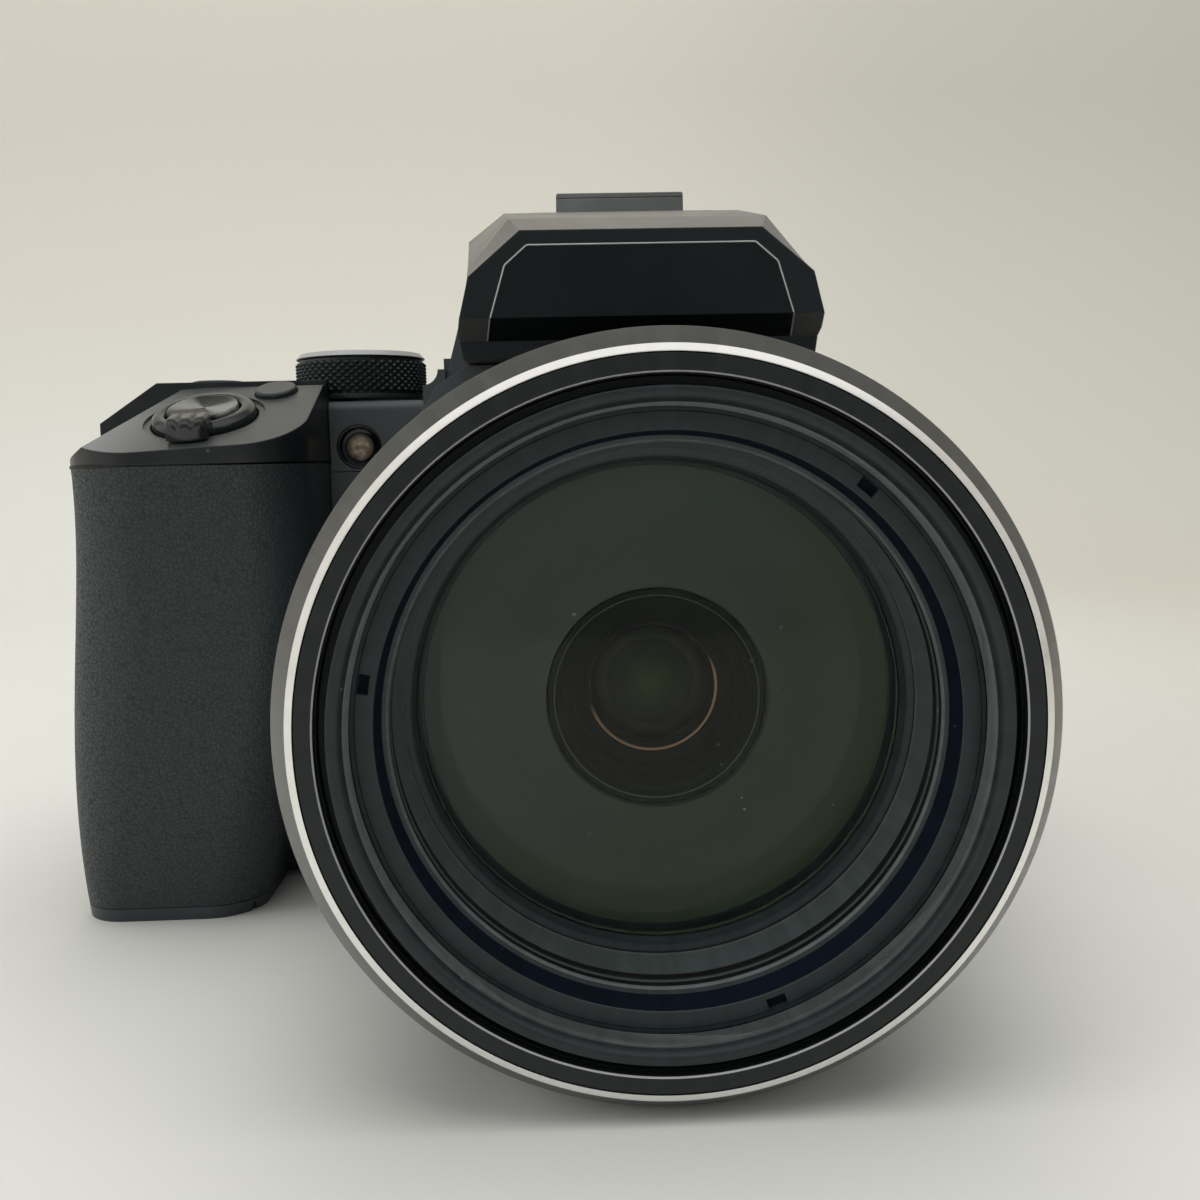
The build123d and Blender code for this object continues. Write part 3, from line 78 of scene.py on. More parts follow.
def addCamera():
    d = sizesOf(cameraPose)
    data = bpy.data.cameras.new("photoCamera")
    data.sensor_width = d.sensor
    data.lens = d.focal * d.sensor / d.picture
    data.clip_start = d.near
    cam = addObject("photoCamera", data)
    yaw, pitch, roll = (math.radians(angle) for angle in (d.yaw, d.pitch, d.roll))
    turn = Matrix.Rotation(yaw, 3, "Z") @ Matrix.Rotation(pitch, 3, "X") @ Matrix.Rotation(roll, 3, "Y")
    right, forward, up = (turn.col[i] for i in range(3))
    cam.matrix_world = Matrix.Translation(d.place) @ Matrix((right, up, -forward)).transposed().to_4x4()
    bpy.context.scene.camera = cam


# node helpers
def feed(tree, value, socket):
    if isinstance(value, bpy.types.NodeSocket):
        tree.links.new(value, socket)
    else:
        socket.default_value = (*value, 1)[:4] if socket.type == "RGBA" else value


def addNode(tree, kind, links=None, **settings):
    node = tree.nodes.new(kind if kind.startswith("Geometry") else "ShaderNode" + kind)
    for key, value in settings.items():
        setattr(node, key, value)
    for key, value in (links or {}).items():
        feed(tree, value, node.inputs[key])
    return node


def mathNode(tree, operation, *values):
    return addNode(tree, "Math", dict(enumerate(values)), operation=operation).outputs[0]


def times(tree, first, second):
    return mathNode(tree, "MULTIPLY", first, second)


def rampBetween(tree, value, low, high, outLow=0.0, outHigh=1.0):
    return addNode(tree, "MapRange", {"Value": value, "From Min": low, "From Max": high, "To Min": outLow,
                                      "To Max": outHigh}, interpolation_type="SMOOTHSTEP").outputs[0]


def mixColour(tree, share, first, second):
    return addNode(tree, "Mix", {0: share, 6: first, 7: second}, data_type="RGBA").outputs[2]


def noiseAt(tree, place, scale, detail, roughness=0.5):
    return addNode(tree, "TexNoise", {"Vector": place, "Scale": scale, "Detail": detail,
                                      "Roughness": roughness}).outputs


def splitPlace(tree, place):
    return addNode(tree, "SeparateXYZ", {0: place}).outputs


def joinPlace(tree, *values):
    return addNode(tree, "CombineXYZ", dict(enumerate(values))).outputs[0]


# a place's three parts, counted from a point, by default one on the lens axis
def partsFrom(tree, place, point=(0, 0, lens["axisHeight"])):
    moved = addNode(tree, "VectorMath", {0: place, 1: Vector(point) * mm}, operation="SUBTRACT")
    return splitPlace(tree, moved.outputs[0])


# distance from the line that runs fore and aft through that point
def acrossAxis(tree, parts):
    squares = [times(tree, part, part) for part in (parts[0], parts[2])]
    return mathNode(tree, "SQRT", mathNode(tree, "ADD", *squares))


trees = {}


# inputs give each name its first value, or the kind of a socket that has none
def newTree(name, kind, inputs, outputs):
    tree = trees[name] = bpy.data.node_groups.new(name, kind + "NodeTree")
    for label, value in inputs.items():
        socketKind = value if isinstance(value, str) else "Int" if isinstance(value, int) else "Float"
        socket = tree.interface.new_socket(name=label, in_out="INPUT", socket_type="NodeSocket" + socketKind)
        if socketKind != value:
            socket.default_value = value
    for label in outputs.split():
        socketKind = "Geometry" if label == "Geometry" else "Float"
        tree.interface.new_socket(name=label, in_out="OUTPUT", socket_type="NodeSocket" + socketKind)
    return tree, tree.nodes.new("NodeGroupInput").outputs, tree.nodes.new("NodeGroupOutput").inputs


def placeGroup(tree, name, *values):
    return addNode(tree, "Group", dict(enumerate(values)), node_tree=trees[name]).outputs


# pebbled rubber skin: rounded cells with creases between them
def buildPebbleGroup():
    tree, given, out = newTree("pebbleSkin", "Shader", {"Place": "Vector", "Cells": 700.0, "Warp": 0.35},
                               "Height Crease")
    warp = noiseAt(tree, given[0], 260.0, 3.0)["Color"]
    push = addNode(tree, "VectorMath", {0: warp, "Scale": 0.0016}, operation="SCALE").outputs[0]
    place = addNode(tree, "VectorMath", {0: given[0], 1: push}, operation="ADD").outputs[0]
    edge, small = (addNode(tree, "TexVoronoi", {"Vector": place, "Scale": scale, "Randomness": randomness},
                           feature="DISTANCE_TO_EDGE").outputs["Distance"]
                   for scale, randomness in ((given["Cells"], 0.95), (times(tree, given["Cells"], 2.3), 1.0)))
    dome, speck = rampBetween(tree, edge, 0.0, 0.32), rampBetween(tree, small, 0.0, 0.30)
    feed(tree, mathNode(tree, "MULTIPLY_ADD", speck, given["Warp"], dome), out["Height"])
    feed(tree, rampBetween(tree, edge, 0.02, 0.16, 1.0, 0.0), out["Crease"])


# spark-eroded mould texture of the satin plastic
def buildMouldGroup():
    tree, given, out = newTree("mouldTexture", "Shader", {"Place": "Vector", "Fineness": 4200.0}, "Height Patch")
    feed(tree, noiseAt(tree, given[0], given[1], 2.0)["Fac"], out["Height"])
    feed(tree, rampBetween(tree, noiseAt(tree, given[0], 55.0, 4.0, 0.6)["Fac"], 0.35, 0.7), out["Patch"])


# sparse dust and lint on a surface
def buildDustGroup():
    tree, given, out = newTree("dustSpecks", "Shader", {"Place": "Vector", "Density": 260.0, "Size": 0.06}, "Mask")
    cells = addNode(tree, "TexVoronoi", {"Vector": given[0], "Scale": given[1]}, feature="F1")
    near = mathNode(tree, "LESS_THAN", cells.outputs["Distance"], given["Size"])
    where = mathNode(tree, "GREATER_THAN", noiseAt(tree, given[0], 90.0, 1.0)["Fac"], 0.56)
    feed(tree, times(tree, near, where), out["Mask"])


# fine rings that a lathe leaves, round the lens axis
def buildLatheGroup():
    tree, given, out = newTree("latheMarks", "Shader", {"Place": "Vector", "Pitch": 5200.0}, "Height Streak")
    parts = partsFrom(tree, given[0])
    angle = mathNode(tree, "ARCTAN2", parts[2], parts[0])
    radius = acrossAxis(tree, parts)
    fine = joinPlace(tree, times(tree, angle, 0.004), parts[1], radius)
    broad = joinPlace(tree, times(tree, angle, 0.9), times(tree, parts[1], 4.0), radius)
    feed(tree, noiseAt(tree, fine, given[1], 2.0)["Fac"], out["Height"])
    feed(tree, rampBetween(tree, noiseAt(tree, broad, 26.0, 4.0)["Fac"], 0.38, 0.66), out["Streak"])


finishes = {}


# steps that the materials share
def setInput(tree, key, value):
    feed(tree, value, tree.nodes["Principled BSDF"].inputs[key])


def startMaterial(name, colour, roughness, metallic=0.0, shine=0.5):
    mat = finishes[name] = bpy.data.materials.new(name)
    mat.use_nodes = True
    tree = mat.node_tree
    for key, value in (("Base Color", colour), ("Roughness", roughness), ("Metallic", metallic),
                       ("Specular IOR Level", shine)):
        setInput(tree, key, value)
    return tree, addNode(tree, "TexCoord").outputs["Object"]


def dustOver(tree, place, colour, share, density=260.0, size=0.06, tint=(0.25, 0.24, 0.22)):
    specks = placeGroup(tree, "dustSpecks", place, density, size)[0]
    setInput(tree, "Base Color", mixColour(tree, times(tree, specks, share), colour, tint))


def roughBetween(tree, mask, low, high, start=0.0, end=1.0):
    setInput(tree, "Roughness", rampBetween(tree, mask, start, end, low, high))


def setNormal(tree, height, strength, distance, edgeRadius=0):
    bump = addNode(tree, "Bump", {"Strength": strength, "Distance": distance, "Height": height})
    if edgeRadius:
        feed(tree, addNode(tree, "Bevel", {"Radius": edgeRadius}, samples=4).outputs[0], bump.inputs["Normal"])
    setInput(tree, "Normal", bump.outputs[0])


def scaled(colour, gain, lift=0.0):
    return [min(1, c * gain + lift) for c in colour]


# depths of the fine textures, in metres
mouldDepth, pebbleDepth, turningDepth, polishDepth = 0.00004, 0.00022, 0.00003, 0.00002


# a moulded plastic: fine texture, smudges in the shine, a little dust
def mouldedPlastic(name, colour, roughness, depth=0.25, dust=0.25, shine=0.5, fineness=4200.0, edgeRadius=0.00025):
    tree, place = startMaterial(name, colour, roughness, shine=shine)
    mould = placeGroup(tree, "mouldTexture", place, fineness)
    dustOver(tree, place, mixColour(tree, mould["Patch"], colour, scaled(colour, 1.35, 0.002)), dust)
    roughBetween(tree, mould["Patch"], roughness - 0.05, roughness + 0.06)
    setNormal(tree, mould["Height"], depth, mouldDepth, edgeRadius)


# leather-grained rubber of the grip, its creases painted darker as painted shade
def grainedRubber(name, colour, cells, warp, depth):
    tree, place = startMaterial(name, colour, 0.5, shine=0.42)
    skin = placeGroup(tree, "pebbleSkin", place, cells, warp)
    # painted shade: darker in the creases
    toned = mixColour(tree, skin["Crease"], colour, scaled(colour, 0.72))
    dustOver(tree, place, toned, 0.12, 420.0, 0.05, (0.22, 0.21, 0.2))
    roughBetween(tree, skin["Crease"], 0.44, 0.7)
    setNormal(tree, skin["Height"], depth, pebbleDepth)


# turned part of the lens, in plastic or metal
def turnedFinish(name, colour, roughness, depth=0.15, shine=0.5, metallic=0.0, streak=1.25, dust=0.3):
    tree, place = startMaterial(name, colour, roughness, metallic, shine)
    marks = placeGroup(tree, "latheMarks", place)
    toned = mixColour(tree, marks["Streak"], colour, scaled(colour, streak))
    dustOver(tree, place, toned, dust, 300.0, 0.05, (0.3, 0.29, 0.27))
    roughBetween(tree, marks["Streak"], roughness, roughness + 0.07)
    setNormal(tree, marks["Height"], depth, turningDepth)


# clear part: coated glass or a clear plastic window
def clearGlass(name, colour, roughness, transmission, ior):
    tree, place = startMaterial(name, colour, roughness)
    setInput(tree, "Transmission Weight", transmission)
    setInput(tree, "IOR", ior)
    specks = placeGroup(tree, "dustSpecks", place, 240.0, 0.04)[0]
    smear = placeGroup(tree, "mouldTexture", place, 2400.0)["Patch"]
    rough = rampBetween(tree, smear, 0, 1, roughness, roughness + 0.015)
    setInput(tree, "Roughness", mathNode(tree, "MULTIPLY_ADD", specks, 0.3, rough))


# dark plate behind the glass, with a painted reflection: cooler at its upper left, olive at its lower right; painted
# light brightens it towards its rim
def shadedPlate(name, cool, olive):
    tree, place = startMaterial(name, cool, 0.55, shine=0.2)
    parts = partsFrom(tree, place)
    # painted reflection: cool at the upper left, olive at the lower right
    share = rampBetween(tree, mathNode(tree, "SUBTRACT", parts[0], parts[2]), -0.03, 0.03)
    # painted light: paler towards the rim
    outward = rampBetween(tree, acrossAxis(tree, parts), 0.016, 0.027)
    pairs = [mixColour(tree, outward, tint, scaled(tint, gain)) for tint, gain in ((cool, 1.3), (olive, 1.7))]
    dustOver(tree, place, mixColour(tree, share, *pairs), 0.75, 330.0, 0.07, (0.30, 0.30, 0.28))
    marks = placeGroup(tree, "latheMarks", place, 900.0)
    roughBetween(tree, marks["Streak"], 0.5, 0.6)
    setNormal(tree, marks["Height"], 0.03, polishDepth)


# a copper ring painted black over its upper left half as painted shade, so that its copper shows only on its lit lower
# right half
def lowerArc(name, metal, black):
    tree, place = startMaterial(name, metal, 0.35, 0.25, 0.3)
    parts = partsFrom(tree, place)
    slant = mathNode(tree, "SUBTRACT", times(tree, parts[0], 0.366), times(tree, parts[2], 0.93))
    setInput(tree, "Base Color", mixColour(tree, rampBetween(tree, slant, -0.0012, 0.0015), black, metal))
    marks = placeGroup(tree, "latheMarks", place)
    roughBetween(tree, marks["Streak"], 0.3, 0.4)
    setNormal(tree, marks["Height"], 0.05, polishDepth)


# second group's glass, opaque and painted: olive painted light in its middle, then darker and paler painted rings of
# light and shade; radii in metres
coreRings = ((0.0, (0.030, 0.062, 0.007)), (0.0022, (0.017, 0.039, 0.006)), (0.0036, (0.009, 0.016, 0.007)),
             (0.0046, (0.013, 0.019, 0.012)), (0.0050, (0.007, 0.011, 0.006)), (0.0056, (0.024, 0.031, 0.023)),
             (0.0063, (0.019, 0.025, 0.018)), (0.0068, (0.006, 0.009, 0.005)))


def coatedCore(name):
    toned = coreRings[0][1]
    tree, place = startMaterial(name, toned, 0.3, shine=0.08)
    radius = acrossAxis(tree, partsFrom(tree, place))
    for (start, before), (end, colour) in zip(coreRings, coreRings[1:]):
        toned = mixColour(tree, rampBetween(tree, radius, start, end), toned, colour)
    dustOver(tree, place, toned, 0.3, 420.0, 0.05, (0.25, 0.25, 0.22))
    roughBetween(tree, placeGroup(tree, "mouldTexture", place, 2400.0)["Patch"], 0.25, 0.35)


def facingParts(tree):
    return splitPlace(tree, addNode(tree, "TexCoord").outputs["Normal"])


# satin shell with painted light: its level faces are painted pale, palest towards its left edge where the light falls,
# and its upright faces are painted dark as painted shade
def deckFinishWithPaintedLight(name, dark, bloom, roughness):
    tree, place = startMaterial(name, dark, roughness)
    mould = placeGroup(tree, "mouldTexture", place, 5200.0)
    # painted highlight: the level faces grow paler towards the left edge
    lit = mixColour(tree, rampBetween(tree, splitPlace(tree, place)[0], -0.064, -0.081), bloom, scaled(bloom, 4.5))
    toned = mixColour(tree, rampBetween(tree, facingParts(tree)[2], 0.25, 0.9), dark, lit)
    dustOver(tree, place, mixColour(tree, times(tree, mould["Patch"], 0.25), toned, bloom), 0.25)
    roughBetween(tree, mould["Patch"], roughness - 0.04, roughness + 0.06)
    setNormal(tree, mould["Height"], 0.2, mouldDepth, 0.00035)


# flash head: dark and glossy where it faces forward, satin over the roof and the sides; the roof and the sides are
# painted paler and the upward faces palest, as painted light
def shellFinishWithPaintedLight(name, front, sides, top):
    tree, place = startMaterial(name, front, 0.4, shine=0.45)
    facing = facingParts(tree)
    aside = rampBetween(tree, mathNode(tree, "ABSOLUTE", facing[0]), 0.06, 0.4, 0.0, 0.75)
    lifted = rampBetween(tree, facing[2], 0.06, 0.35, 0.0, 0.3)
    roof = mathNode(tree, "MAXIMUM", rampBetween(tree, facing[1], -0.95, -0.7),
                    mathNode(tree, "MAXIMUM", aside, lifted))
    # painted light: a paler colour for the sides, palest for the upward faces
    litShellColour = mixColour(tree, rampBetween(tree, facing[2], 0.2, 0.85), sides, top)
    dustOver(tree, place, mixColour(tree, roof, front, litShellColour), 0.2)
    mould = placeGroup(tree, "mouldTexture", place, 4800.0)
    worn = rampBetween(tree, mould["Patch"], 0, 1, -0.04, 0.05)
    setInput(tree, "Roughness", mathNode(tree, "ADD", worn, rampBetween(tree, roof, 0, 1, 0.2, 0.42)))
    setNormal(tree, times(tree, mould["Height"], roof), 0.25, mouldDepth, 0.00035)


assistLamp = {"place": (-41.9, -26.0, 72.3), "recess": 3.44, "rim": 0.32, "lens": 2.1, "front": 0.55, "back": 1.58,
              "dome": 0.35}


# amber lens of the lamp: mottled, darker towards its rim
def amberFinish(name, dark, light, rim):
    tree, place = startMaterial(name, dark, 0.16)
    radius = acrossAxis(tree, partsFrom(tree, place, assistLamp["place"]))
    blot = noiseAt(tree, place, 950.0, 3.0)["Fac"]
    inner = mixColour(tree, rampBetween(tree, blot, 0.38, 0.66), dark, light)
    setInput(tree, "Base Color", mixColour(tree, rampBetween(tree, radius, 0.0010, 0.0021), inner, rim))
    roughBetween(tree, blot, 0.12, 0.24, 0.3, 0.7)
    setNormal(tree, blot, 0.15, mouldDepth * 1.25)


# spun disc of the shutter button: two painted highlight fans where the turning marks would catch the lamps
def spunFinishWithPaintedHighlight(name, dark, light):
    tree, place = startMaterial(name, dark, 0.28, 0.7)
    parts = partsFrom(tree, place, capSeat.translation)
    angle = mathNode(tree, "ADD", mathNode(tree, "ARCTAN2", parts[1], parts[0]), 0.35)
    fan = mathNode(tree, "ABSOLUTE", mathNode(tree, "COSINE", angle))
    fine = noiseAt(tree, place, 900.0, 2.0)["Fac"]
    share = times(tree, rampBetween(tree, fan, 0.72, 1.0), rampBetween(tree, fine, 0.3, 0.7, 0.88, 1.0))
    setInput(tree, "Base Color", mixColour(tree, share, dark, light))
    roughBetween(tree, fine, 0.24, 0.34, 0.3, 0.7)
    setNormal(tree, fine, 0.05, polishDepth, 0.0001)


# colour, roughness, depth of the texture, dust, shine, fineness and edge radius
plastics = {
    "satinPlastic": ((0.036, 0.042, 0.045), 0.45, 0.25, 0.25, 0.34),
    "coverPlastic": ((0.062, 0.068, 0.070), 0.45, 0.25, 0.25, 0.34),
    "glossPlastic": ((0.0045, 0.0055, 0.0065), 0.12, 0.03, 0.15, 0.4),
    "keyPlastic": ((0.020, 0.0235, 0.0255), 0.30, 0.12),
    "leverGloss": ((0.013, 0.015, 0.016), 0.2, 0.06, 0.2, 0.6),
    "dialBlack": ((0.018, 0.0215, 0.0225), 0.30, 0.1),
    "softRubber": ((0.018, 0.021, 0.022), 0.62, 0.4, 0.25, 0.3, 2600.0),
    "shoeMetal": ((0.128, 0.131, 0.126), 0.42, 0.15, 0.25, 0.5, 3000.0),
    "screenGlass": ((0.004, 0.004, 0.005), 0.06, 0.0, 0.3, 0.5, 4200.0, 0.0002),
    "screenFrame": ((0.006, 0.006, 0.0065), 0.22, 0.05, 0.2),
    # the near-black below is painted shadow for grooves, slots and the cap's seam
    "deepBlack": ((0.002, 0.002, 0.002), 0.6, 0.1, 0.0),
    "paintWhite": ((0.62, 0.62, 0.60), 0.5, 0.15, 0.1, 0.5, 4200.0, 0),
    "recordRed": ((0.42, 0.02, 0.015), 0.35, 0.1, 0.1, 0.5, 4200.0, 0),
    "diffuser": ((0.42, 0.42, 0.41), 0.25, 0.5, 0.25, 0.5, 1500.0),
    "boardGreen": ((0.02, 0.11, 0.05), 0.35),
    "cellGrey": ((0.11, 0.11, 0.12), 0.4)}

# colour, roughness, depth of the marks, shine, metal, streak and dust
turnings = {
    "ringMetal": ((0.182, 0.182, 0.179), 0.34, 0.25, 0.5, 1.0, 1.1),
    "ringPolish": ((0.84, 0.835, 0.815), 0.13, 0.05, 0.5, 1.0, 1.05, 0.0),
    # the grey below is painted on edges as a painted highlight line
    "edgeGrey": ((0.36, 0.36, 0.35), 0.34, 0.05, 0.5, 0.2, 1.1, 0.0),
    "trimSilver": ((0.48, 0.48, 0.47), 0.3, 0.03, 0.5, 0.3, 1.1, 0.0),
    "faceBlack": ((0.0120, 0.0150, 0.0145), 0.38, 0.06, 0.3),
    "lipBlack": ((0.0145, 0.0185, 0.0195), 0.40, 0.1, 0.35),
    "bandBlack": ((0.020, 0.0265, 0.0275), 0.45, 0.12, 0.35),
    "funnelBlack": ((0.025, 0.033, 0.036), 0.42, 0.1, 0.35),
    "troughNavy": ((0.0045, 0.0068, 0.0125), 0.6, 0.05, 0.1),
    # the pale rings and cones below are paler copies of the bezel's black, painted light on its lit steps
    "paleRing": ((0.031, 0.037, 0.038), 0.40, 0.1, 0.35),
    "paleCone": ((0.085, 0.098, 0.096), 0.36, 0.1),
    "satinCone": ((0.060, 0.071, 0.070), 0.4, 0.1, 0.4),
    "tubeBlack": ((0.0120, 0.0138, 0.0145), 0.5, 0.1, 0.2),
    "threadBlack": ((0.050, 0.056, 0.055), 0.34, 0.05, 0.6),
    "noseBlack": ((0.0055, 0.0105, 0.0046), 0.75, 0.02, 0.03),
    "rimGreen": ((0.060, 0.075, 0.064), 0.4, 0.05, 0.3, 0.0, 1.25, 0.0),
    "plainSteel": ((0.42, 0.42, 0.43), 0.35, 0.15, 0.5, 1.0),
    "turnedBrass": ((0.55, 0.45, 0.27), 0.3, 0.15, 0.5, 1.0),
    "contactGold": ((0.72, 0.55, 0.25), 0.25, 0.15, 0.5, 1.0, 1.25, 0.1)}


# the function that makes each of the rest, and what it is given
otherFinishes = {
    # painted shade in the grip rubber's creases
    "gripRubber": (grainedRubber, (0.029, 0.0370, 0.0385), 1450.0, 0.75, 0.30),
    # painted light on the grip cap: pale level faces, palest to the left, and painted shade on its upright faces
    "capPlastic": (deckFinishWithPaintedLight, (0.003, 0.0045, 0.0060), (0.042, 0.044, 0.044), 0.36),
    # painted light on the flash head: paler sides and roof, palest upward faces
    "flashShell": (shellFinishWithPaintedLight, (0.0115, 0.0135, 0.0145), (0.082, 0.083, 0.081), (0.128, 0.121, 0.108)),
    # painted reflection and painted light on the plate behind the glass
    "plateGlass": (shadedPlate, (0.070, 0.084, 0.078), (0.038, 0.049, 0.030)),
    # painted highlight fans on the shutter disc
    "spunDisc": (spunFinishWithPaintedHighlight, (0.012, 0.012, 0.013), (0.30, 0.30, 0.302)),
    # painted shade over the copper ring's upper left half
    "copperTrim": (lowerArc, (0.50, 0.30, 0.18), (0.004, 0.004, 0.0045)),
    "lensGlass": (clearGlass, (0.93, 0.96, 0.92), 0.02, 1.0, 1.22),
    "eyeCoating": (clearGlass, (0.45, 0.5, 0.55), 0.03, 0.6, 1.4),
    # painted light and painted rings in the inner glass
    "coatedCore": (coatedCore,),
    "lampAmber": (amberFinish, (0.26, 0.165, 0.09), (0.52, 0.46, 0.34), (0.115, 0.085, 0.060))}


def buildFinishes():
    for build in (buildPebbleGroup, buildMouldGroup, buildDustGroup, buildLatheGroup):
        build()
    for name, values in plastics.items():
        mouldedPlastic(name, *values)
    for name, values in turnings.items():
        turnedFinish(name, *values)
    for name, (build, *values) in otherFinishes.items():
        build(name, *values)


nodeFinishes = {
    "coverPlastic": "front_cover top_cover",
    "satinPlastic": "rear_cover bottom_cover grip_frame monitor monitor_hinge battery_door "
                    "connector_cover connector_block",
    "capPlastic": "grip_cap",
    "flashShell": "flash_head",
    "glossPlastic": "flash_panel",
    "keyPlastic": "mode_dial command_dial power_button function_button flash_button snap_button zoom_rocker side_dial "
                  "record_button play_button menu_button delete_button selector_ring selector_button "
                  "diopter_dial zoom_lever shutter_button",
    "gripRubber": "grip_rubber",
    "softRubber": "thumb_rest eyecup",
    "ringMetal": "front_ring",
    "faceBlack": "face_ring",
    "lipBlack": "fixed_barrel middle_barrel front_barrel lens_housing",
    "bandBlack": "lens_bezel",
    "plateGlass": "front_cell",
    "funnelBlack": "zoom_cell",
    "shoeMetal": "accessory_shoe shoe_cover",
    "plainSteel": "strap_lugs housing_screws",
    "turnedBrass": "tripod_bush",
    "copperTrim": "trim_ring",
    "lensGlass": "front_lens zoom_lens rear_lens eyepiece_lens",
    "screenGlass": "monitor_screen viewfinder_display",
    "lampAmber": "assist_lamp",
    "diffuser": "flash_window flash_lamp",
    "boardGreen": "main_board image_sensor",
    "cellGrey": "battery"}


def dressNodes():
    for finish, names in nodeFinishes.items():
        for name in names.split():
            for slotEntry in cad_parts[name].material_slots:
                slotEntry.material = finishes[finish]


# joins the parts, each given as its mesh and the names of its finishes, into one piece on a body
def finishMesh(name, body, parts, hides="", sharpAngle=35.0):
    bm = bmesh.new()
    names = []
    for part, finish in parts:
        start = len(bm.faces)
        bm.from_mesh(part)
        bm.faces.ensure_lookup_table()
        for face in bm.faces[start:]:
            face.material_index = len(names) + min(face.material_index, finish.count(" "))
        names += finish.split()
        bpy.data.meshes.remove(part)
    bmesh.ops.recalc_face_normals(bm, faces=bm.faces)
    for face in bm.faces:
        face.smooth = True
    for edge in bm.edges:
        if len(edge.link_faces) == 2 and edge.calc_face_angle(0) > math.radians(sharpAngle):
            edge.smooth = False
    mesh = bpy.data.meshes.new(name)
    bm.to_mesh(mesh)
    bm.free()
    for finish in names:
        mesh.materials.append(finishes[finish])
    piece = addObject(name, mesh)
    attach(piece, body)
    if hides:
        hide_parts(hides)


# outlines, as lists of flat points
def around(count):
    return [2 * math.pi * k / count for k in range(count)]


def flatBox(half, low, high):
    return [(-half, low), (half, low), (half, high), (-half, high)]


def roundCorner(before, corner, after, size, steps=4):
    here = Vector(corner)
    ways = [Vector(other) - here for other in (before, after)]
    reach = min(size, *(way.length * 0.45 for way in ways))
    start, end = (here + way.normalized() * reach for way in ways)
    return [tuple(start * (1 - t) ** 2 + here * 2 * t * (1 - t) + end * t ** 2)
            for t in (k / steps for k in range(steps + 1))]


def roundCorners(points, size, steps=4):
    following = points[1:] + points[:1]
    return [point for i, corner in enumerate(points)
            for point in roundCorner(points[i - 1], corner, following[i], size, steps)]


# round crown of a glass from its middle to its rim
def domeOutline(radius, crown, fall, steps):
    curve = (radius ** 2 + fall ** 2) / (2 * fall)
    spots = [max(pole, radius * k / steps) for k in range(steps + 1)]
    return [(spot, crown + curve - math.sqrt(curve ** 2 - spot ** 2)) for spot in spots]


# the built shape in its seat's place, in metres
def takeMesh(bm, seat=level):
    mesh = bpy.data.meshes.new("shape")
    bmesh.ops.transform(bm, matrix=Matrix.Scale(mm, 4) @ seat, verts=bm.verts)
    bm.to_mesh(mesh)
    bm.free()
    return mesh


# quads between neighbouring rows of corners; closed joins each row's ends, looped the last row to the first
def bridgeRows(bm, rows, closed=True, looped=False):
    count = len(rows[0])
    for lower, upper in zip(rows, rows[1:] + (rows[:1] if looped else [])):
        for i in range(count if closed else count - 1):
            k = (i + 1) % count
            bm.faces.new((lower[i], upper[i], upper[k], lower[k]))


def cappedMesh(bm, rows, seat=level):
    bridgeRows(bm, rows)
    bm.faces.new(rows[0][::-1])
    bm.faces.new(rows[-1])
    return takeMesh(bm, seat)


# closed outline of (radius, height) spun round the seat's own Z; shift moves a point, pick chooses a finish
def turnedMesh(outline, seat=lensSeat, steps=lens["turnSteps"], shift=None, angles=None, pick=None):
    bm = bmesh.new()
    rings = []
    for angle in angles or around(steps):
        ring = [shift(*point, angle, index) for index, point in enumerate(outline)] if shift else outline
        rings.append([bm.verts.new((radius * math.sin(angle), radius * math.cos(angle), height))
                      for radius, height in ring])
    bridgeRows(bm, rings, looped=True)
    if pick:
        count = len(outline)
        for number, face in enumerate(bm.faces):
            face.material_index = int(pick(outline[number % count], outline[(number + 1) % count]))
    return takeMesh(bm, seat)


# outline in the seat's XY, run up its Z between two heights
def raisedMesh(points, low, high, seat=level):
    bm = bmesh.new()
    return cappedMesh(bm, [[bm.verts.new((*point, height)) for point in points] for height in (low, high)], seat)


# round cord through the points
def cordMesh(points, radius, sides=8):
    bm = bmesh.new()
    rings = []
    for i, here in enumerate(points):
        along = (points[min(i + 1, len(points) - 1)] - points[max(i - 1, 0)]).normalized()
        side = along.cross(Vector((0, 0, 1))).normalized()
        up = side.cross(along)
        rings.append([bm.verts.new(here + (side * math.cos(a) + up * math.sin(a)) * radius) for a in around(sides)])
    return cappedMesh(bm, rings)


# what repeats is made by node trees that work in millimetres, as the outlines do
def closeTree(tree, out, points, stud, rotation, material):
    placed = addNode(tree, "GeometryNodeInstanceOnPoints", {"Points": points, "Instance": stud, "Rotation": rotation})
    real = addNode(tree, "GeometryNodeRealizeInstances", {0: placed.outputs[0]})
    dressed = addNode(tree, "GeometryNodeSetMaterial", {0: real.outputs[0], "Material": material})
    feed(tree, dressed.outputs[0], out[0])


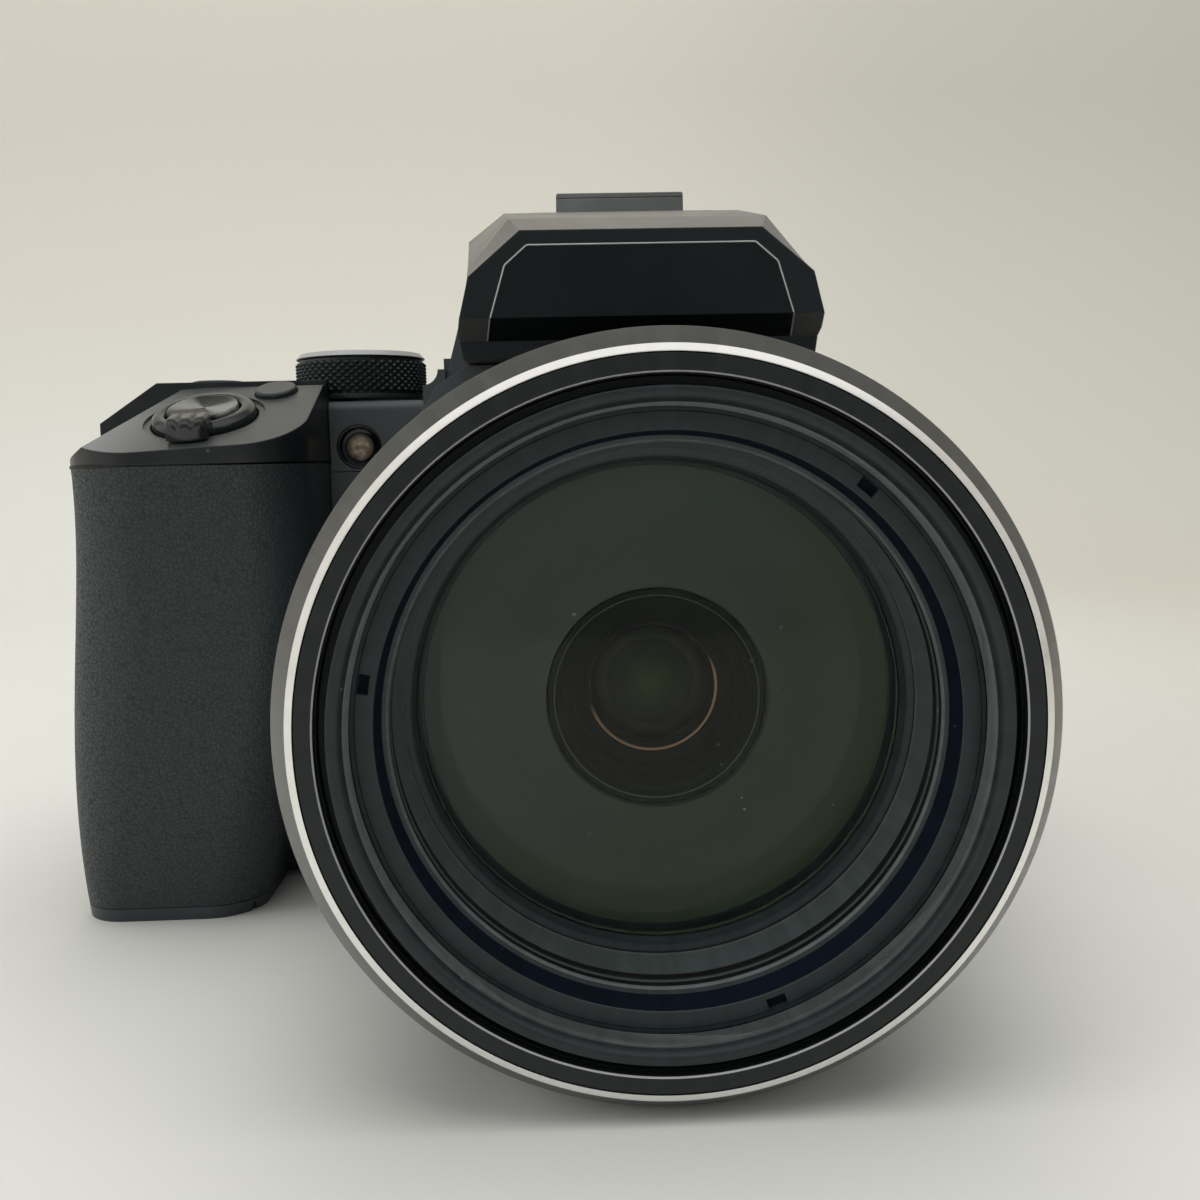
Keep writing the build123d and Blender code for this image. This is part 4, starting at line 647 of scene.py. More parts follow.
# rows of pyramids or ribs on a cylinder's side, every other row half a step on
def buildKnurlTree():
    tree, get, out = newTree("knurlRows", "Geometry", {
        "Count": 40, "Rows": 5, "Sides": 4, "Radius": 10.5, "Bottom": 0.0, "Pitch": 1.0, "Proud": 0.4,
        "Half Width": 0.7, "Half Height": 0.7, "Flat": 0.15, "Material": "Material"}, "Geometry")
    line = addNode(tree, "GeometryNodeMeshLine", {"Count": times(tree, get["Count"], get["Rows"]), "Offset": (0, 0, 0)})
    index = addNode(tree, "GeometryNodeInputIndex").outputs[0]
    safeIndex = mathNode(tree, "ADD", index, 0.001)
    row = mathNode(tree, "FLOOR", mathNode(tree, "DIVIDE", safeIndex, get["Count"]))
    column = mathNode(tree, "SUBTRACT", index, times(tree, row, get["Count"]))
    odd = times(tree, mathNode(tree, "MODULO", row, 2.0), 0.5)
    turn = mathNode(tree, "DIVIDE", mathNode(tree, "ADD", column, odd), get["Count"])
    angle = times(tree, turn, 2 * math.pi)
    high = mathNode(tree, "ADD", get["Bottom"], times(tree, mathNode(tree, "ADD", row, 0.5), get["Pitch"]))
    place = joinPlace(tree, times(tree, mathNode(tree, "COSINE", angle), get["Radius"]),
                      times(tree, mathNode(tree, "SINE", angle), get["Radius"]), high)
    points = addNode(tree, "GeometryNodeSetPosition", {0: line.outputs[0], "Position": place}).outputs[0]
    cone = addNode(tree, "GeometryNodeMeshCone", {
        "Vertices": get["Sides"], "Radius Top": get["Flat"], "Radius Bottom": 1.0, "Depth": 1.0}).outputs[0]
    size = joinPlace(tree, get["Half Height"], get["Half Width"], get["Proud"])
    stud = addNode(tree, "GeometryNodeTransform", {0: cone, "Rotation": (0, math.pi / 2, 0), "Scale": size}).outputs[0]
    closeTree(tree, out, points, stud, joinPlace(tree, 0.0, 0.0, angle), get["Material"])


# level grid of low studs in the seat's XY
def buildStudTree():
    tree, get, out = newTree("studGrid", "Geometry", {
        "Columns": 6, "Rows": 4, "Step": 2.0, "Sides": 12, "Radius": 0.5, "Tip": 0.4, "Height": 0.3,
        "Material": "Material"}, "Geometry")
    wide, tall = (times(tree, get["Step"], mathNode(tree, "SUBTRACT", get[side], 1.0)) for side in ("Columns", "Rows"))
    grid = addNode(tree, "GeometryNodeMeshGrid", {
        "Size X": wide, "Size Y": tall, "Vertices X": get["Columns"], "Vertices Y": get["Rows"]})
    cone = addNode(tree, "GeometryNodeMeshCone", {
        "Vertices": get["Sides"], "Radius Top": get["Tip"], "Radius Bottom": get["Radius"], "Depth": get["Height"]})
    closeTree(tree, out, grid.outputs[0], cone.outputs[0], (0, 0, 0), get["Material"])


# what a tree grows, as a plain mesh in its seat's place
def grownMesh(treeName, seat, finish, **values):
    holder = addObject("holder", bpy.data.meshes.new("holder"))
    modifier = holder.modifiers.new("grow", "NODES")
    modifier.node_group = trees[treeName]
    values["material"] = finishes[finish]
    for item in trees[treeName].interface.items_tree:
        key = item.name[0].lower() + item.name[1:].replace(" ", "")
        if key in values:
            modifier[item.identifier] = values[key]
    bpy.context.view_layer.update()
    mesh = bpy.data.meshes.new_from_object(holder.evaluated_get(bpy.context.evaluated_depsgraph_get()))
    holder.modifiers.remove(modifier)
    bpy.data.objects.remove(holder)
    mesh.transform(Matrix.Scale(mm, 4) @ seat)
    mesh.materials.clear()
    return mesh


# the lens: depths run back from the front ring's plane
frontRing = {"inner": 38.06, "outer": 40.8, "chamferIn": 38.12, "chamferOut": 38.9, "chamferDepth": 0.4,
             "flankDepth": 2.9, "back": 8.88, "round": 0.12}


def addFrontRing():
    d = sizesOf(frontRing)
    outline = roundCorners([(d.inner, 0.02), (d.chamferIn, 0.0), (d.chamferOut, d.chamferDepth),
                            (d.outer, d.flankDepth), (d.outer, d.back), (d.inner, d.back)], d.round)
    edge = d.chamferOut + 0.02
    mesh = turnedMesh(outline, pick=lambda a, b: max(a[0], b[0]) <= edge and max(a[1], b[1]) < 1)
    finishMesh("ringSatin", "body", [(mesh, "ringMetal ringPolish")], "front_ring")


frontTube = {"outer": 34.84, "bore": 32.54, "lip": 34.0, "threadRoot": 33.25, "threadCrest": 32.9,
             "threadPitch": 0.5, "threadStart": 0.75, "threadEnd": 3.4, "shoulder": 3.5, "groove": 32.98,
             "floor": 4.1, "back": 70.2, "rows": 8}


def addFrontTube():
    d = sizesOf(frontTube)
    outline = [(d.lip - 0.35, 0.05), (d.lip - 0.1, -0.15), (d.outer - 0.25, -0.2), (d.outer - 0.08, -0.12),
               (d.outer, 0.1), (d.outer, d.back), (d.bore, d.back), (d.bore, d.shoulder),
               (d.groove, d.shoulder), (d.groove, d.floor), (d.threadRoot, d.floor)]
    smooth = len(outline)
    rows = int((d.threadEnd - d.threadStart) / d.threadPitch * d.rows)
    outline += [(d.threadRoot, d.threadEnd - (d.threadEnd - d.threadStart) * k / rows) for k in range(rows + 1)]

    def thread(radius, depth, angle, index):
        if index < smooth or not d.threadStart + 0.15 < depth < d.threadEnd - 0.1:
            return radius, depth
        phase = (depth / d.threadPitch + angle / (2 * math.pi)) % 1.0
        return radius - max(0.0, 1 - abs(phase - 0.5) * 3.2) * (d.threadRoot - d.threadCrest), depth

    # 0 lip, 1 band, 2 deep groove painted near-black as painted shadow, 3 thread
    def tone(a, b):
        if max(a[1], b[1]) > d.back - 1 or min(a[0], b[0]) > d.threadRoot + 0.01:
            return 0
        if min(a[1], b[1]) >= d.threadEnd - 0.01 and max(a[1], b[1]) > d.shoulder + 0.1:
            return 2
        if min(a[1], b[1]) >= d.shoulder - 0.01:
            return 1
        return 3 if max(a[0], b[0]) < d.threadRoot + 0.01 else 0

    mesh = turnedMesh(outline, shift=thread, pick=tone)
    finishMesh("filterTube", "front_barrel", [(mesh, "lipBlack bandBlack deepBlack threadBlack")],
               "front_barrel")


# bezel round the glass: flat band with three clip recesses, navy wall, pale step, grooved wall, satin cone, inner step;
# the pale steps and cones are painted light and the near-black grooved walls painted shadow, over the bezel's own black
bezel = {"outer": 32.52, "bandDepth": 3.5, "back": 17.9, "seat": 27.95, "turnSteps": 240, "clips": 3,
         "clipAngle": 20.0, "clipWidth": 2.0, "clipReach": 1.3, "clipDepth": 0.85,
         "parts": (("bandBlack", ((30.66, 3.5), (30.55, 3.6))),
                   ("troughNavy", ((30.5, 3.8), (30.15, 6.8))),
                   ("paleRing", ((30.1, 6.9), (29.72, 7.0))),
                   ("paleCone", ((29.5, 7.25), (29.46, 7.35))),
                   ("deepBlack", ((29.55, 7.6), (29.58, 8.6))),
                   ("paleRing", ((29.44, 8.75), (29.43, 9.05))),
                   ("deepBlack", ((29.56, 9.2), (29.56, 10.6))),
                   ("satinCone", ((29.42, 11.0), (28.9, 14.4))),
                   ("paleCone", ((28.86, 14.5), (28.8, 14.75))),
                   ("deepBlack", ((28.84, 14.95), (28.84, 15.3))),
                   ("paleRing", ((28.6, 15.35), (28.3, 15.4))),
                   ("bandBlack", ((28.05, 15.5), (27.66, 16.85))),
                   ("deepBlack", ((27.6, 16.95), (27.95, 17.1))))}


def addBezel():
    d = sizesOf(bezel)
    names = list(dict.fromkeys(name for name, points in d.parts))
    tones = {point: names.index(name) for name, points in d.parts for point in points}
    inside = d.outer - d.clipReach
    outline = [(d.outer, d.bandDepth + 0.05), (d.outer - 0.12, d.bandDepth), (d.outer - 0.13, d.bandDepth),
               (inside + 0.01, d.bandDepth), (inside, d.bandDepth), *tones, (d.seat, d.back), (d.outer, d.back)]
    half = d.clipWidth / 2 / (d.outer - d.clipReach / 2)
    centres = [math.radians(d.clipAngle + turn * 120) for turn in range(d.clips)]
    angles = set(around(d.turnSteps))
    angles.update((centre + offset) % (2 * math.pi) for centre in centres
                  for offset in (-half - 0.002, -half, half, half + 0.002))

    def clip(radius, depth, angle, index):
        cut = any(abs((angle - centre + math.pi) % (2 * math.pi) - math.pi) <= half + 1e-6 for centre in centres)
        return radius, depth + (d.clipDepth if cut and index in (2, 3) else 0)

    mesh = turnedMesh(outline, angles=sorted(angles), shift=clip, pick=lambda a, b: tones.get(b, 0))
    parts = [(mesh, " ".join(names))]
    floor = d.bandDepth + d.clipDepth
    for centre in centres:
        spread = [centre + half * (k / 4 - 1) for k in range(9)]
        points = [(radius * math.sin(a), radius * math.cos(a)) for radius, arc in
                  ((d.outer - 0.16, spread), (inside + 0.04, spread[::-1])) for a in arc]
        parts.append((raisedMesh(points, floor - 0.04, floor + 0.06, lensSeat), "troughNavy"))
    finishMesh("bezelBand", "front_barrel", parts, "lens_bezel", 28)


facePlate = {"inner": 36.06, "outer": 37.94, "back": 1.5, "edge": 0.16}


def addFacePlate():
    d = sizesOf(facePlate)
    outline = [(d.inner, d.back), (d.inner, d.edge), (d.inner + d.edge, 0.0), (d.outer - 0.08, 0.0),
               (d.outer, 0.08), (d.outer, d.back)]
    # the inner bevel is painted grey as a painted highlight line
    mesh = turnedMesh(outline, pick=lambda a, b: abs(a[0] + b[0] - 2 * d.inner - d.edge) < 0.02 and a[1] < 1)
    finishMesh("facePlate", "body", [(mesh, "faceBlack edgeGrey")], "face_ring", 20)


# the front element: a smooth dome over the dark ring plate
frontGlass = {"radius": 27.48, "crown": 14.62, "rimDepth": 17.0, "back": 20.35, "flange": 31.4,
              "flangeFront": 18.22, "steps": 28}


def addFrontGlass():
    d = sizesOf(frontGlass)
    outline = domeOutline(d.radius, d.crown, d.rimDepth - d.crown, d.steps)
    outline += [(d.radius, d.flangeFront), (d.flange, d.flangeFront), (d.flange, d.back), (pole, d.back)]
    finishMesh("frontGlass", "front_barrel", [(turnedMesh(outline), "lensGlass")], "front_lens", 50)


# the plate behind the glass, with a rolled lip round its opening
ringPlate = {"outer": 32.4, "front": 18.25, "seat": 31.7, "floor": 20.7, "opening": 12.86, "rim": 26.95,
             "step": 0.12, "back": 22.55, "lip": 0.35}


def addRingPlate():
    d = sizesOf(ringPlate)
    outline = [(d.seat, d.front), (d.outer, d.front), (d.outer, d.back), (d.opening, d.back),
               (d.opening, d.floor + d.lip), (d.opening + 0.1, d.floor + 0.1), (d.opening + d.lip, d.floor),
               (d.rim, d.floor), (d.rim + 0.1, d.floor - d.step), (d.seat, d.floor - d.step)]
    mesh = turnedMesh(outline, pick=lambda a, b: max(a[0], b[0]) >= d.rim + 0.01)
    finishMesh("ringPlate", "front_barrel", [(mesh, "plateGlass funnelBlack")], "front_cell", 40)


# stepped dark cone of the second group, with a thin pale line round its mouth
zoomNose = {"front": 21.42, "outer": 12.6, "rim": ((12.5, 21.42), (12.02, 21.42)),
            "line": ((11.98, 21.46), (11.86, 21.5)),
            "steps": ((11.8, 21.62), (11.5, 23.0), (10.9, 23.02), (10.7, 25.4), (9.7, 25.44), (9.5, 28.4),
                      (8.1, 28.45), (8.0, 30.9)),
            "seat": 7.44, "hub": 12.4, "hubBack": 39.9, "plateBack": 28.7, "carrier": 30.95, "carrierWall": 2,
            "carrierFront": 26.85, "back": 62.7}


def addZoomNose():
    d = sizesOf(zoomNose)
    bore = d.carrier - d.carrierWall
    outline = [(d.outer, d.carrierFront), (d.outer, d.front + 0.1), *d.rim, *d.line, *d.steps,
               (d.seat, d.steps[-1][1]), (d.seat, d.hubBack), (d.hub, d.hubBack), (d.hub, d.plateBack),
               (bore, d.plateBack), (bore, d.back), (d.carrier, d.back), (d.carrier, d.carrierFront)]
    mesh = turnedMesh(outline, pick=lambda a, b: a in d.line and b in d.line)
    finishMesh("zoomNose", "zoom_group", [(mesh, "noseBlack rimGreen")], "zoom_cell")


# thin copper ring at the bottom of the nose
copperRing = {"radius": 7.72, "depth": 28.25, "thick": 0.17, "sides": 10}


def addCopperRing():
    d = sizesOf(copperRing)
    outline = [(d.radius + d.thick * math.cos(a), d.depth + d.thick * math.sin(a)) for a in around(d.sides)]
    finishMesh("copperRing", "zoom_group", [(turnedMesh(outline), "copperTrim")], "trim_ring", 60)


innerGlass = {"radius": 7.3, "front": 31.3, "rise": 1.0, "back": 34.3, "steps": 12}


def addInnerGlass():
    d = sizesOf(innerGlass)
    outline = domeOutline(d.radius, d.front, d.rise, d.steps) + [(d.radius, d.back), (pole, d.back)]
    finishMesh("innerGlass", "zoom_group", [(turnedMesh(outline), "coatedCore")], "zoom_lens", 50)


# the moving tube behind the face ring, with fine light-trap grooves at its mouth
middleTube = {"inner": 34.94, "outer": 35.9, "front": 2.22, "back": 70.18, "grooves": 5, "firstGroove": 0.8,
              "pitch": 0.9, "cut": 0.14}


def addMiddleTube():
    d = sizesOf(middleTube)
    outline = [(d.inner, d.front + 0.1), (d.inner + 0.1, d.front), (d.outer - 0.1, d.front), (d.outer, d.front + 0.1)]
    for k in range(d.grooves):
        start = d.front + d.firstGroove + k * d.pitch
        outline += [(d.outer, start), (d.outer - d.cut, start + 0.1), (d.outer - d.cut, start + 0.35),
                    (d.outer, start + 0.45)]
    outline += [(d.outer, d.back), (d.inner, d.back)]
    finishMesh("middleTube", "middle_barrel", [(turnedMesh(outline), "tubeBlack")], "middle_barrel")


def knobOutline(radius, height, chamfer, skirt, inset):
    rim, side = radius - 0.05, radius - inset
    return [(pole, 0.0), (radius - 0.25, 0.0), (rim, 0.12), (rim, skirt), (side, skirt + 0.2),
            (side, height - chamfer - 0.35), (radius - 0.12, height - chamfer - 0.2),
            (rim, height - chamfer - 0.05), (radius - chamfer, height - 0.04),
            (radius - chamfer - 0.15, height), (radius - chamfer - 1.0, height),
            (radius - chamfer - 1.15, height - 0.14), (pole, height - 0.14)]


# dials on the deck
modeDial = {"place": (-42.8, -14.3), "low": 79.92, "high": 87.55, "radius": 10.5, "skirt": 0.75, "count": 46,
            "rows": 5, "knurlLow": 0.95, "knurlHigh": 6.35, "proud": 0.42, "chamfer": 0.75,
            "marks": 12, "markInset": 3.1, "markLong": 1.3, "markHalfWidth": 0.14}


def addModeDial():
    d = sizesOf(modeDial)
    seat = seatAt(*d.place, d.low)
    height = d.high - d.low
    inset = d.proud + 0.06
    edge = height - d.chamfer - 0.07
    rim = d.radius - d.chamfer - 0.2
    # the rim of the top chamfer is painted grey as a painted highlight
    cap = turnedMesh(knobOutline(d.radius, height, d.chamfer, d.skirt, inset), seat, 160,
                     pick=lambda a, b: min(a[1], b[1]) > edge and max(a[0], b[0]) > rim)
    halfPitch = (d.knurlHigh - d.knurlLow) / (d.rows + 1) / 2
    knurl = grownMesh("knurlRows", seat, "dialBlack", count=d.count, rows=d.rows * 2 - 1,
                      radius=d.radius - inset + d.proud / 2 - 0.02, bottom=d.knurlLow + 0.35,
                      pitch=halfPitch * 1.16, proud=d.proud, halfWidth=math.pi * d.radius / d.count * 0.98,
                      halfHeight=halfPitch * 1.2, flat=0.12)
    marks = grownMesh("knurlRows", seat, "paintWhite", count=d.marks, rows=1, radius=d.radius - d.markInset,
                      bottom=height - 0.165, pitch=0.1, proud=d.markLong, halfWidth=d.markHalfWidth,
                      halfHeight=0.06, flat=0.9)
    finishMesh("modeDialKnurl", "mode_dial",
               [(cap, "dialBlack edgeGrey"), (knurl, "dialBlack"), (marks, "paintWhite")], "mode_dial", 25)


commandDial = {"place": (-66.0, 22.0), "low": 78.62, "high": 82.78, "radius": 9.0, "skirt": 0.9, "ribs": 56,
               "proud": 0.3, "chamfer": 0.6}


def addCommandDial():
    d = sizesOf(commandDial)
    seat = seatAt(*d.place, d.low)
    height = d.high - d.low
    inset = d.proud + 0.05
    cap = turnedMesh(knobOutline(d.radius, height, d.chamfer, d.skirt, inset), seat, 128)
    ribs = grownMesh("knurlRows", seat, "dialBlack", count=d.ribs, rows=1, radius=d.radius - inset + 0.1,
                     bottom=1.15, pitch=height - 2.3, proud=d.proud, halfWidth=0.42, halfHeight=(height - 1.9) / 2,
                     flat=0.6)
    finishMesh("commandDialRibs", "command_dial", [(cap, "keyPlastic"), (ribs, "dialBlack")],
               "command_dial", 25)


# shutter button: spun disc with a turned edge
shutterDisc = {"radius": 5.08, "low": -1.68, "high": 1.66, "dish": 0.42, "rim": 0.28, "steps": 8}


def addShutterDisc():
    d = sizesOf(shutterDisc)
    hollow = d.radius - d.rim
    spots = [max(pole, (hollow - 0.35) * (1 - k / d.steps)) for k in range(d.steps + 1)]
    outline = [(pole, d.low), (d.radius, d.low), (d.radius, d.high - 0.4), (d.radius - 0.12, d.high - 0.1),
               (d.radius - 0.3, d.high)]
    outline += [(spot, d.high - d.dish * (1 - (spot / hollow) ** 2)) for spot in spots]
    mesh = turnedMesh(outline, capSeat, 128)
    finishMesh("shutterDisc", "shutter_button", [(mesh, "spunDisc")], "shutter_button", 40)


# zoom lever: ring with a bright turned edge and a ridged tab
zoomLever = {"bore": 5.38, "radius": 7.45, "low": -1.28, "high": 1.3, "tab": 2.85, "reach": 10.5, "tabLow": 0.32,
             "tabHigh": 3.2, "columns": 60, "rows": 24, "groove": 0.42, "grooveAt": 0.36, "grooveWidth": 0.11,
             "crest": 0.62}


def addZoomLever():
    d = sizesOf(zoomLever)
    ring = [(d.bore, d.low), (d.radius - 0.05, d.low), (d.radius, d.low + 0.1), (d.radius, d.high - 0.75),
            (d.radius - 0.12, d.high - 0.6), (d.radius - 0.55, d.high - 0.12), (d.radius - 0.8, d.high),
            (d.bore + 0.45, d.high), (d.bore + 0.25, d.high - 0.08), (d.bore, d.high - 0.35)]
    bm = bmesh.new()
    top, bottom = [], []
    inner = d.bore + 0.9
    for i in range(d.columns + 1):
        u = 2 * i / d.columns - 1
        groove = sum(math.exp(-((u - c) / d.grooveWidth) ** 2) for c in (-d.grooveAt, d.grooveAt)) * d.groove
        edge = max(0.0, abs(u) - 0.8) / 0.2
        top.append([])
        bottom.append([])
        for j in range(d.rows + 1):
            v = j / d.rows
            # a dome that falls off past its middle, less its low root, its edges and its two grooves
            reach = inner + (d.reach - inner - 0.7 * u * u) * math.sin(math.pi / 2 * min(1.0, v * 1.05))
            height = d.tabLow + (d.tabHigh - d.tabLow) * (1 - (max(0.0, v - 0.35) / 0.65) ** 2.4) ** 0.7
            height -= d.crest * max(0.0, 0.4 - v) + 0.55 * edge ** 2
            height -= groove * min(1.0, v * 3) * min(1.0, (1 - v) * 4)
            top[i].append(bm.verts.new((u * d.tab, -reach, max(d.tabLow + 0.02, height))))
            bottom[i].append(bm.verts.new((u * d.tab, -reach, d.tabLow)))
    for rows in (top, bottom):
        bridgeRows(bm, rows, closed=False)
    for end in (0, -1):
        bridgeRows(bm, [top[end], bottom[end]], closed=False)
        bridgeRows(bm, [[row[end] for row in rows] for rows in (top, bottom)], closed=False)
    parts = [(turnedMesh(ring, capSeat, 128), "leverGloss"), (takeMesh(bm, capSeat), "leverGloss")]
    finishMesh("zoomLeverRing", "zoom_lever", parts, "zoom_lever", 60)


# focus-assist lamp: raised rim, moulded rings and a domed amber lens
def addAssistLamp():
    d = sizesOf(assistLamp)
    seat = seatAt(*d.place, ("X", -90))
    mouth = d.recess - d.rim
    rim = [(d.recess, d.back - 0.2), (d.recess, 0.06), (d.recess - 0.08, 0.0), (mouth, 0.04), (mouth - 0.06, 0.14),
           (d.recess - 0.55, d.back - 0.45), (d.lens + 0.16, d.back - 0.35), (d.lens + 0.1, d.back - 0.2)]
    dome = [(max(pole, d.lens * t), d.front + d.dome * t ** 2) for t in (k / 8 for k in range(9))]
    amber = dome + [(d.lens, d.back - 0.02), (pole, d.back - 0.02)]
    parts = [(turnedMesh(rim, seat, 96), "glossPlastic"), (turnedMesh(amber, seat, 64), "lampAmber")]
    finishMesh("assistLampLens", "body", parts, "assist_lamp", 40)


# dark strip in the seam between the grip's cap and its rubber: painted shadow in the gap
capGasket = {"left": -81.6, "inner": -47.2, "front": -49.25, "back": 1.4, "low": 69.8, "high": 70.2,
             "outerRound": 13.3, "innerRound": 18.0}


def addCapSeamShadow():
    d = sizesOf(capGasket)
    start, outer, inner, end = (d.left, d.back), (d.left, d.front), (d.inner, d.front), (d.inner, d.back)
    points = [start, *roundCorner(start, outer, inner, d.outerRound, 8),
              *roundCorner(outer, inner, end, d.innerRound, 8), end]
    finishMesh("capGasket", "body", [(raisedMesh(points, d.low, d.high), "deepBlack")])


# bright line round the flash head's plate
trimLine = {"radius": 0.11,
            "points": ((19.34, -62.3, 84.75), (18.7, -67.75, 86.72), (18.6, -67.97, 86.95), (16.75, -67.97, 93.0),
                       (16.6, -67.97, 93.2), (14.05, -67.97, 95.38), (13.8, -67.97, 95.45))}


def addTrimLine():
    right = [Vector(point) for point in trimLine["points"]]
    left = [Vector((-point.x, point.y, point.z)) for point in reversed(right)]
    mesh = cordMesh(right + left, trimLine["radius"])
    finishMesh("flashTrimLine", "flash", [(mesh, "trimSilver")])


# ribbed lens of the flash window
flashRibs = {"half": 15.9, "front": -60.9, "back": -43.1, "low": 84.92, "thick": 1.15, "ribs": 40, "rib": 0.18}


def addFlashWindow():
    d = sizesOf(flashRibs)
    steps = d.ribs * 2
    points = [(-d.half + 2 * d.half * k / steps, d.low + d.rib * (k % 2)) for k in range(steps + 1)]
    points += [(d.half, d.low + d.thick), (-d.half, d.low + d.thick)]
    mesh = raisedMesh(points, -d.back, -d.front, upright)
    finishMesh("flashWindowRibs", "flash", [(mesh, "diffuser")], "flash_window", 8)


# five spring contacts on the shoe's plate, under its cover
shoeContacts = {"places": ((0, -12.6), (-4.6, -16.8), (4.6, -16.8), (-2.3, -19.4), (2.3, -19.4)), "top": 107.42,
                "radius": 0.85, "rise": 0.12}


def addShoeContacts():
    d = sizesOf(shoeContacts)
    outline = [(pole, -0.3), (d.radius, -0.3), (d.radius, 0.0), (d.radius - 0.2, d.rise), (pole, d.rise)]
    parts = [(turnedMesh(outline, seatAt(x, y, d.top), 24), "contactGold") for x, y in d.places]
    finishMesh("shoeContacts", "body", parts)


# side wheels: ribs round the side dial and the diopter wheel, and a shallow dish in the end
sideWheels = {
    "sideDialRibs": {"body": "side_dial", "hides": "side_dial", "seat": (41.1, -41.0, 36.5), "radius": 5.0,
                     "height": 5.36, "ribs": 36, "chamfer": 0.5},
    "diopterRibs": {"body": "diopter_dial", "hides": "diopter_dial", "seat": (21.22, 24.0, 95.0), "radius": 5.0,
                    "height": 3.96, "ribs": 40, "chamfer": 0.5}}


def addSideWheels():
    for name, wheel in sideWheels.items():
        d = sizesOf(wheel)
        seat = seatAt(*d.seat, ("Y", 90))
        side = d.radius - 0.3
        hub = turnedMesh([(pole, 0.0), (side, 0.0), (side, d.height - d.chamfer), (side - d.chamfer, d.height - 0.05),
                          (side - 0.15 - d.chamfer, d.height), (d.radius - 1.5, d.height),
                          (d.radius - 1.62, d.height - 0.15), (pole, d.height - 0.15)], seat, 96)
        long = d.height - d.chamfer - 0.3
        ribs = grownMesh("knurlRows", seat, "dialBlack", count=d.ribs, rows=1, radius=d.radius - 0.18, bottom=0.2,
                         pitch=long, proud=0.3, halfWidth=0.32, halfHeight=long / 2, flat=0.55)
        finishMesh(name, d.body, [(hub, "keyPlastic"), (ribs, "dialBlack")], d.hides, 25)


# small studs for grip: thumb rest and rocker ends
studFields = {
    "thumbStuds": {"body": "body", "slot": "rubber_black", "finish": "softRubber", "seat": (-65.2, 36.2, 57.4),
                   "turn": ("X", -90),
                   "grid": {"columns": 11, "rows": 9, "step": 2.1, "radius": 0.55, "tip": 0.3, "height": 0.5}},
    "rockerStuds": {"body": "zoom_rocker", "slot": "satin_black", "finish": "keyPlastic",
                    "seat": (44.45, -50.0, 49.0), "turn": ("Y", 90),
                    "grid": {"columns": 5, "rows": 3, "step": 1.5, "radius": 0.3, "tip": 0.2, "height": 0.4}}}


def addStudFields():
    for name, field in studFields.items():
        d = sizesOf(field)
        mesh = grownMesh("studGrid", seatAt(*d.seat, d.turn), d.finish, **d.grid)
        finishMesh(name, d.body, [(mesh, d.finish)])


# plain signs on the rear keys, each a slightly raised shape
keySigns = {"y": 34.78, "rise": 0.05,
            "signs": {"record_button": ((-38.5, 73.6), "dot"), "play_button": ((-38.5, 50.0), "arrow"),
                      "menu_button": ((-45.0, 12.0), "bars"), "delete_button": ((-59.0, 12.0), "bin")},
            "shapes": {"dot": [[(1.25 * math.cos(a), 1.25 * math.sin(a)) for a in around(24)]],
                       "arrow": [[(-0.8, -1.1), (1.2, 0.0), (-0.8, 1.1)]],
                       "bars": [flatBox(1.2, z - 0.14, z + 0.14) for z in (-0.75, 0.0, 0.75)],
                       "bin": [[(-0.8, -1.1), (0.8, -1.1), (0.95, 0.55), (-0.95, 0.55)], flatBox(1.2, 0.75, 1.0)]}}


def addKeySigns():
    d = sizesOf(keySigns)
    for body, ((x, z), kind) in d.signs.items():
        seat = seatAt(x, d.y, z, ("X", -90), ("Z", 180))
        finish = "recordRed" if kind == "dot" else "paintWhite"
        finishMesh(body.replace("_button", "Sign"), body,
                   [(raisedMesh(shape, -0.05, d.rise, seat), finish) for shape in d.shapes[kind]])


# crossed screw heads in the base, their cross slots painted near-black as painted shadow
screwHeads = {"places": ((46, -9), (46, 25), (-40.7, 25), (-72.4, 25)), "radius": 1.86, "depth": 0.14,
              "cross": 0.32, "crossHalf": 0.62}


def addScrewHeads():
    d = sizesOf(screwHeads)
    head = [(0.5, -1.0), (d.radius, -1.0), (d.radius, -0.25), (d.radius - 0.2, -0.05), (d.radius - 0.6, 0.0),
            (0.75, 0.0), (0.5, -0.3)]
    blade = flatBox(d.crossHalf, -d.cross / 2, d.cross / 2)
    parts = []
    for x, y in d.places:
        parts.append((turnedMesh(head, seatAt(x, y, d.depth, ("X", 180)), 40), "plainSteel"))
        for turn in (0, 90):
            seat = seatAt(x, y, d.depth, ("X", 180), ("Z", turn))
            parts.append((raisedMesh(blade, -0.7, -0.25, seat), "deepBlack"))
    finishMesh("screwHeads", "body", parts, "housing_screws")


# helical thread in the tripod bush
tripodThread = {"root": 3.17, "crest": 2.85, "pitch": 1.27, "low": 0.35, "high": 5.7, "perTurn": 36, "fade": 12}


def addTripodThread():
    d = sizesOf(tripodThread)
    count = int(((d.high - d.low) / d.pitch - 0.8) * d.perTurn)
    bm = bmesh.new()
    rows = []
    for k in range(count + 1):
        angle = 2 * math.pi * k / d.perTurn
        base = d.low + d.pitch * k / d.perTurn
        ridge = (d.root - d.crest) * min(1.0, k / d.fade, (count - k) / d.fade)
        profile = ((d.root, base), (d.root - ridge, base + d.pitch * 0.4), (d.root, base + d.pitch * 0.8),
                   (d.root + 0.1, base + d.pitch * 0.4))
        rows.append([bm.verts.new((r * math.cos(angle), r * math.sin(angle), h)) for r, h in profile])
    finishMesh("tripodThread", "body", [(cappedMesh(bm, rows), "turnedBrass")])


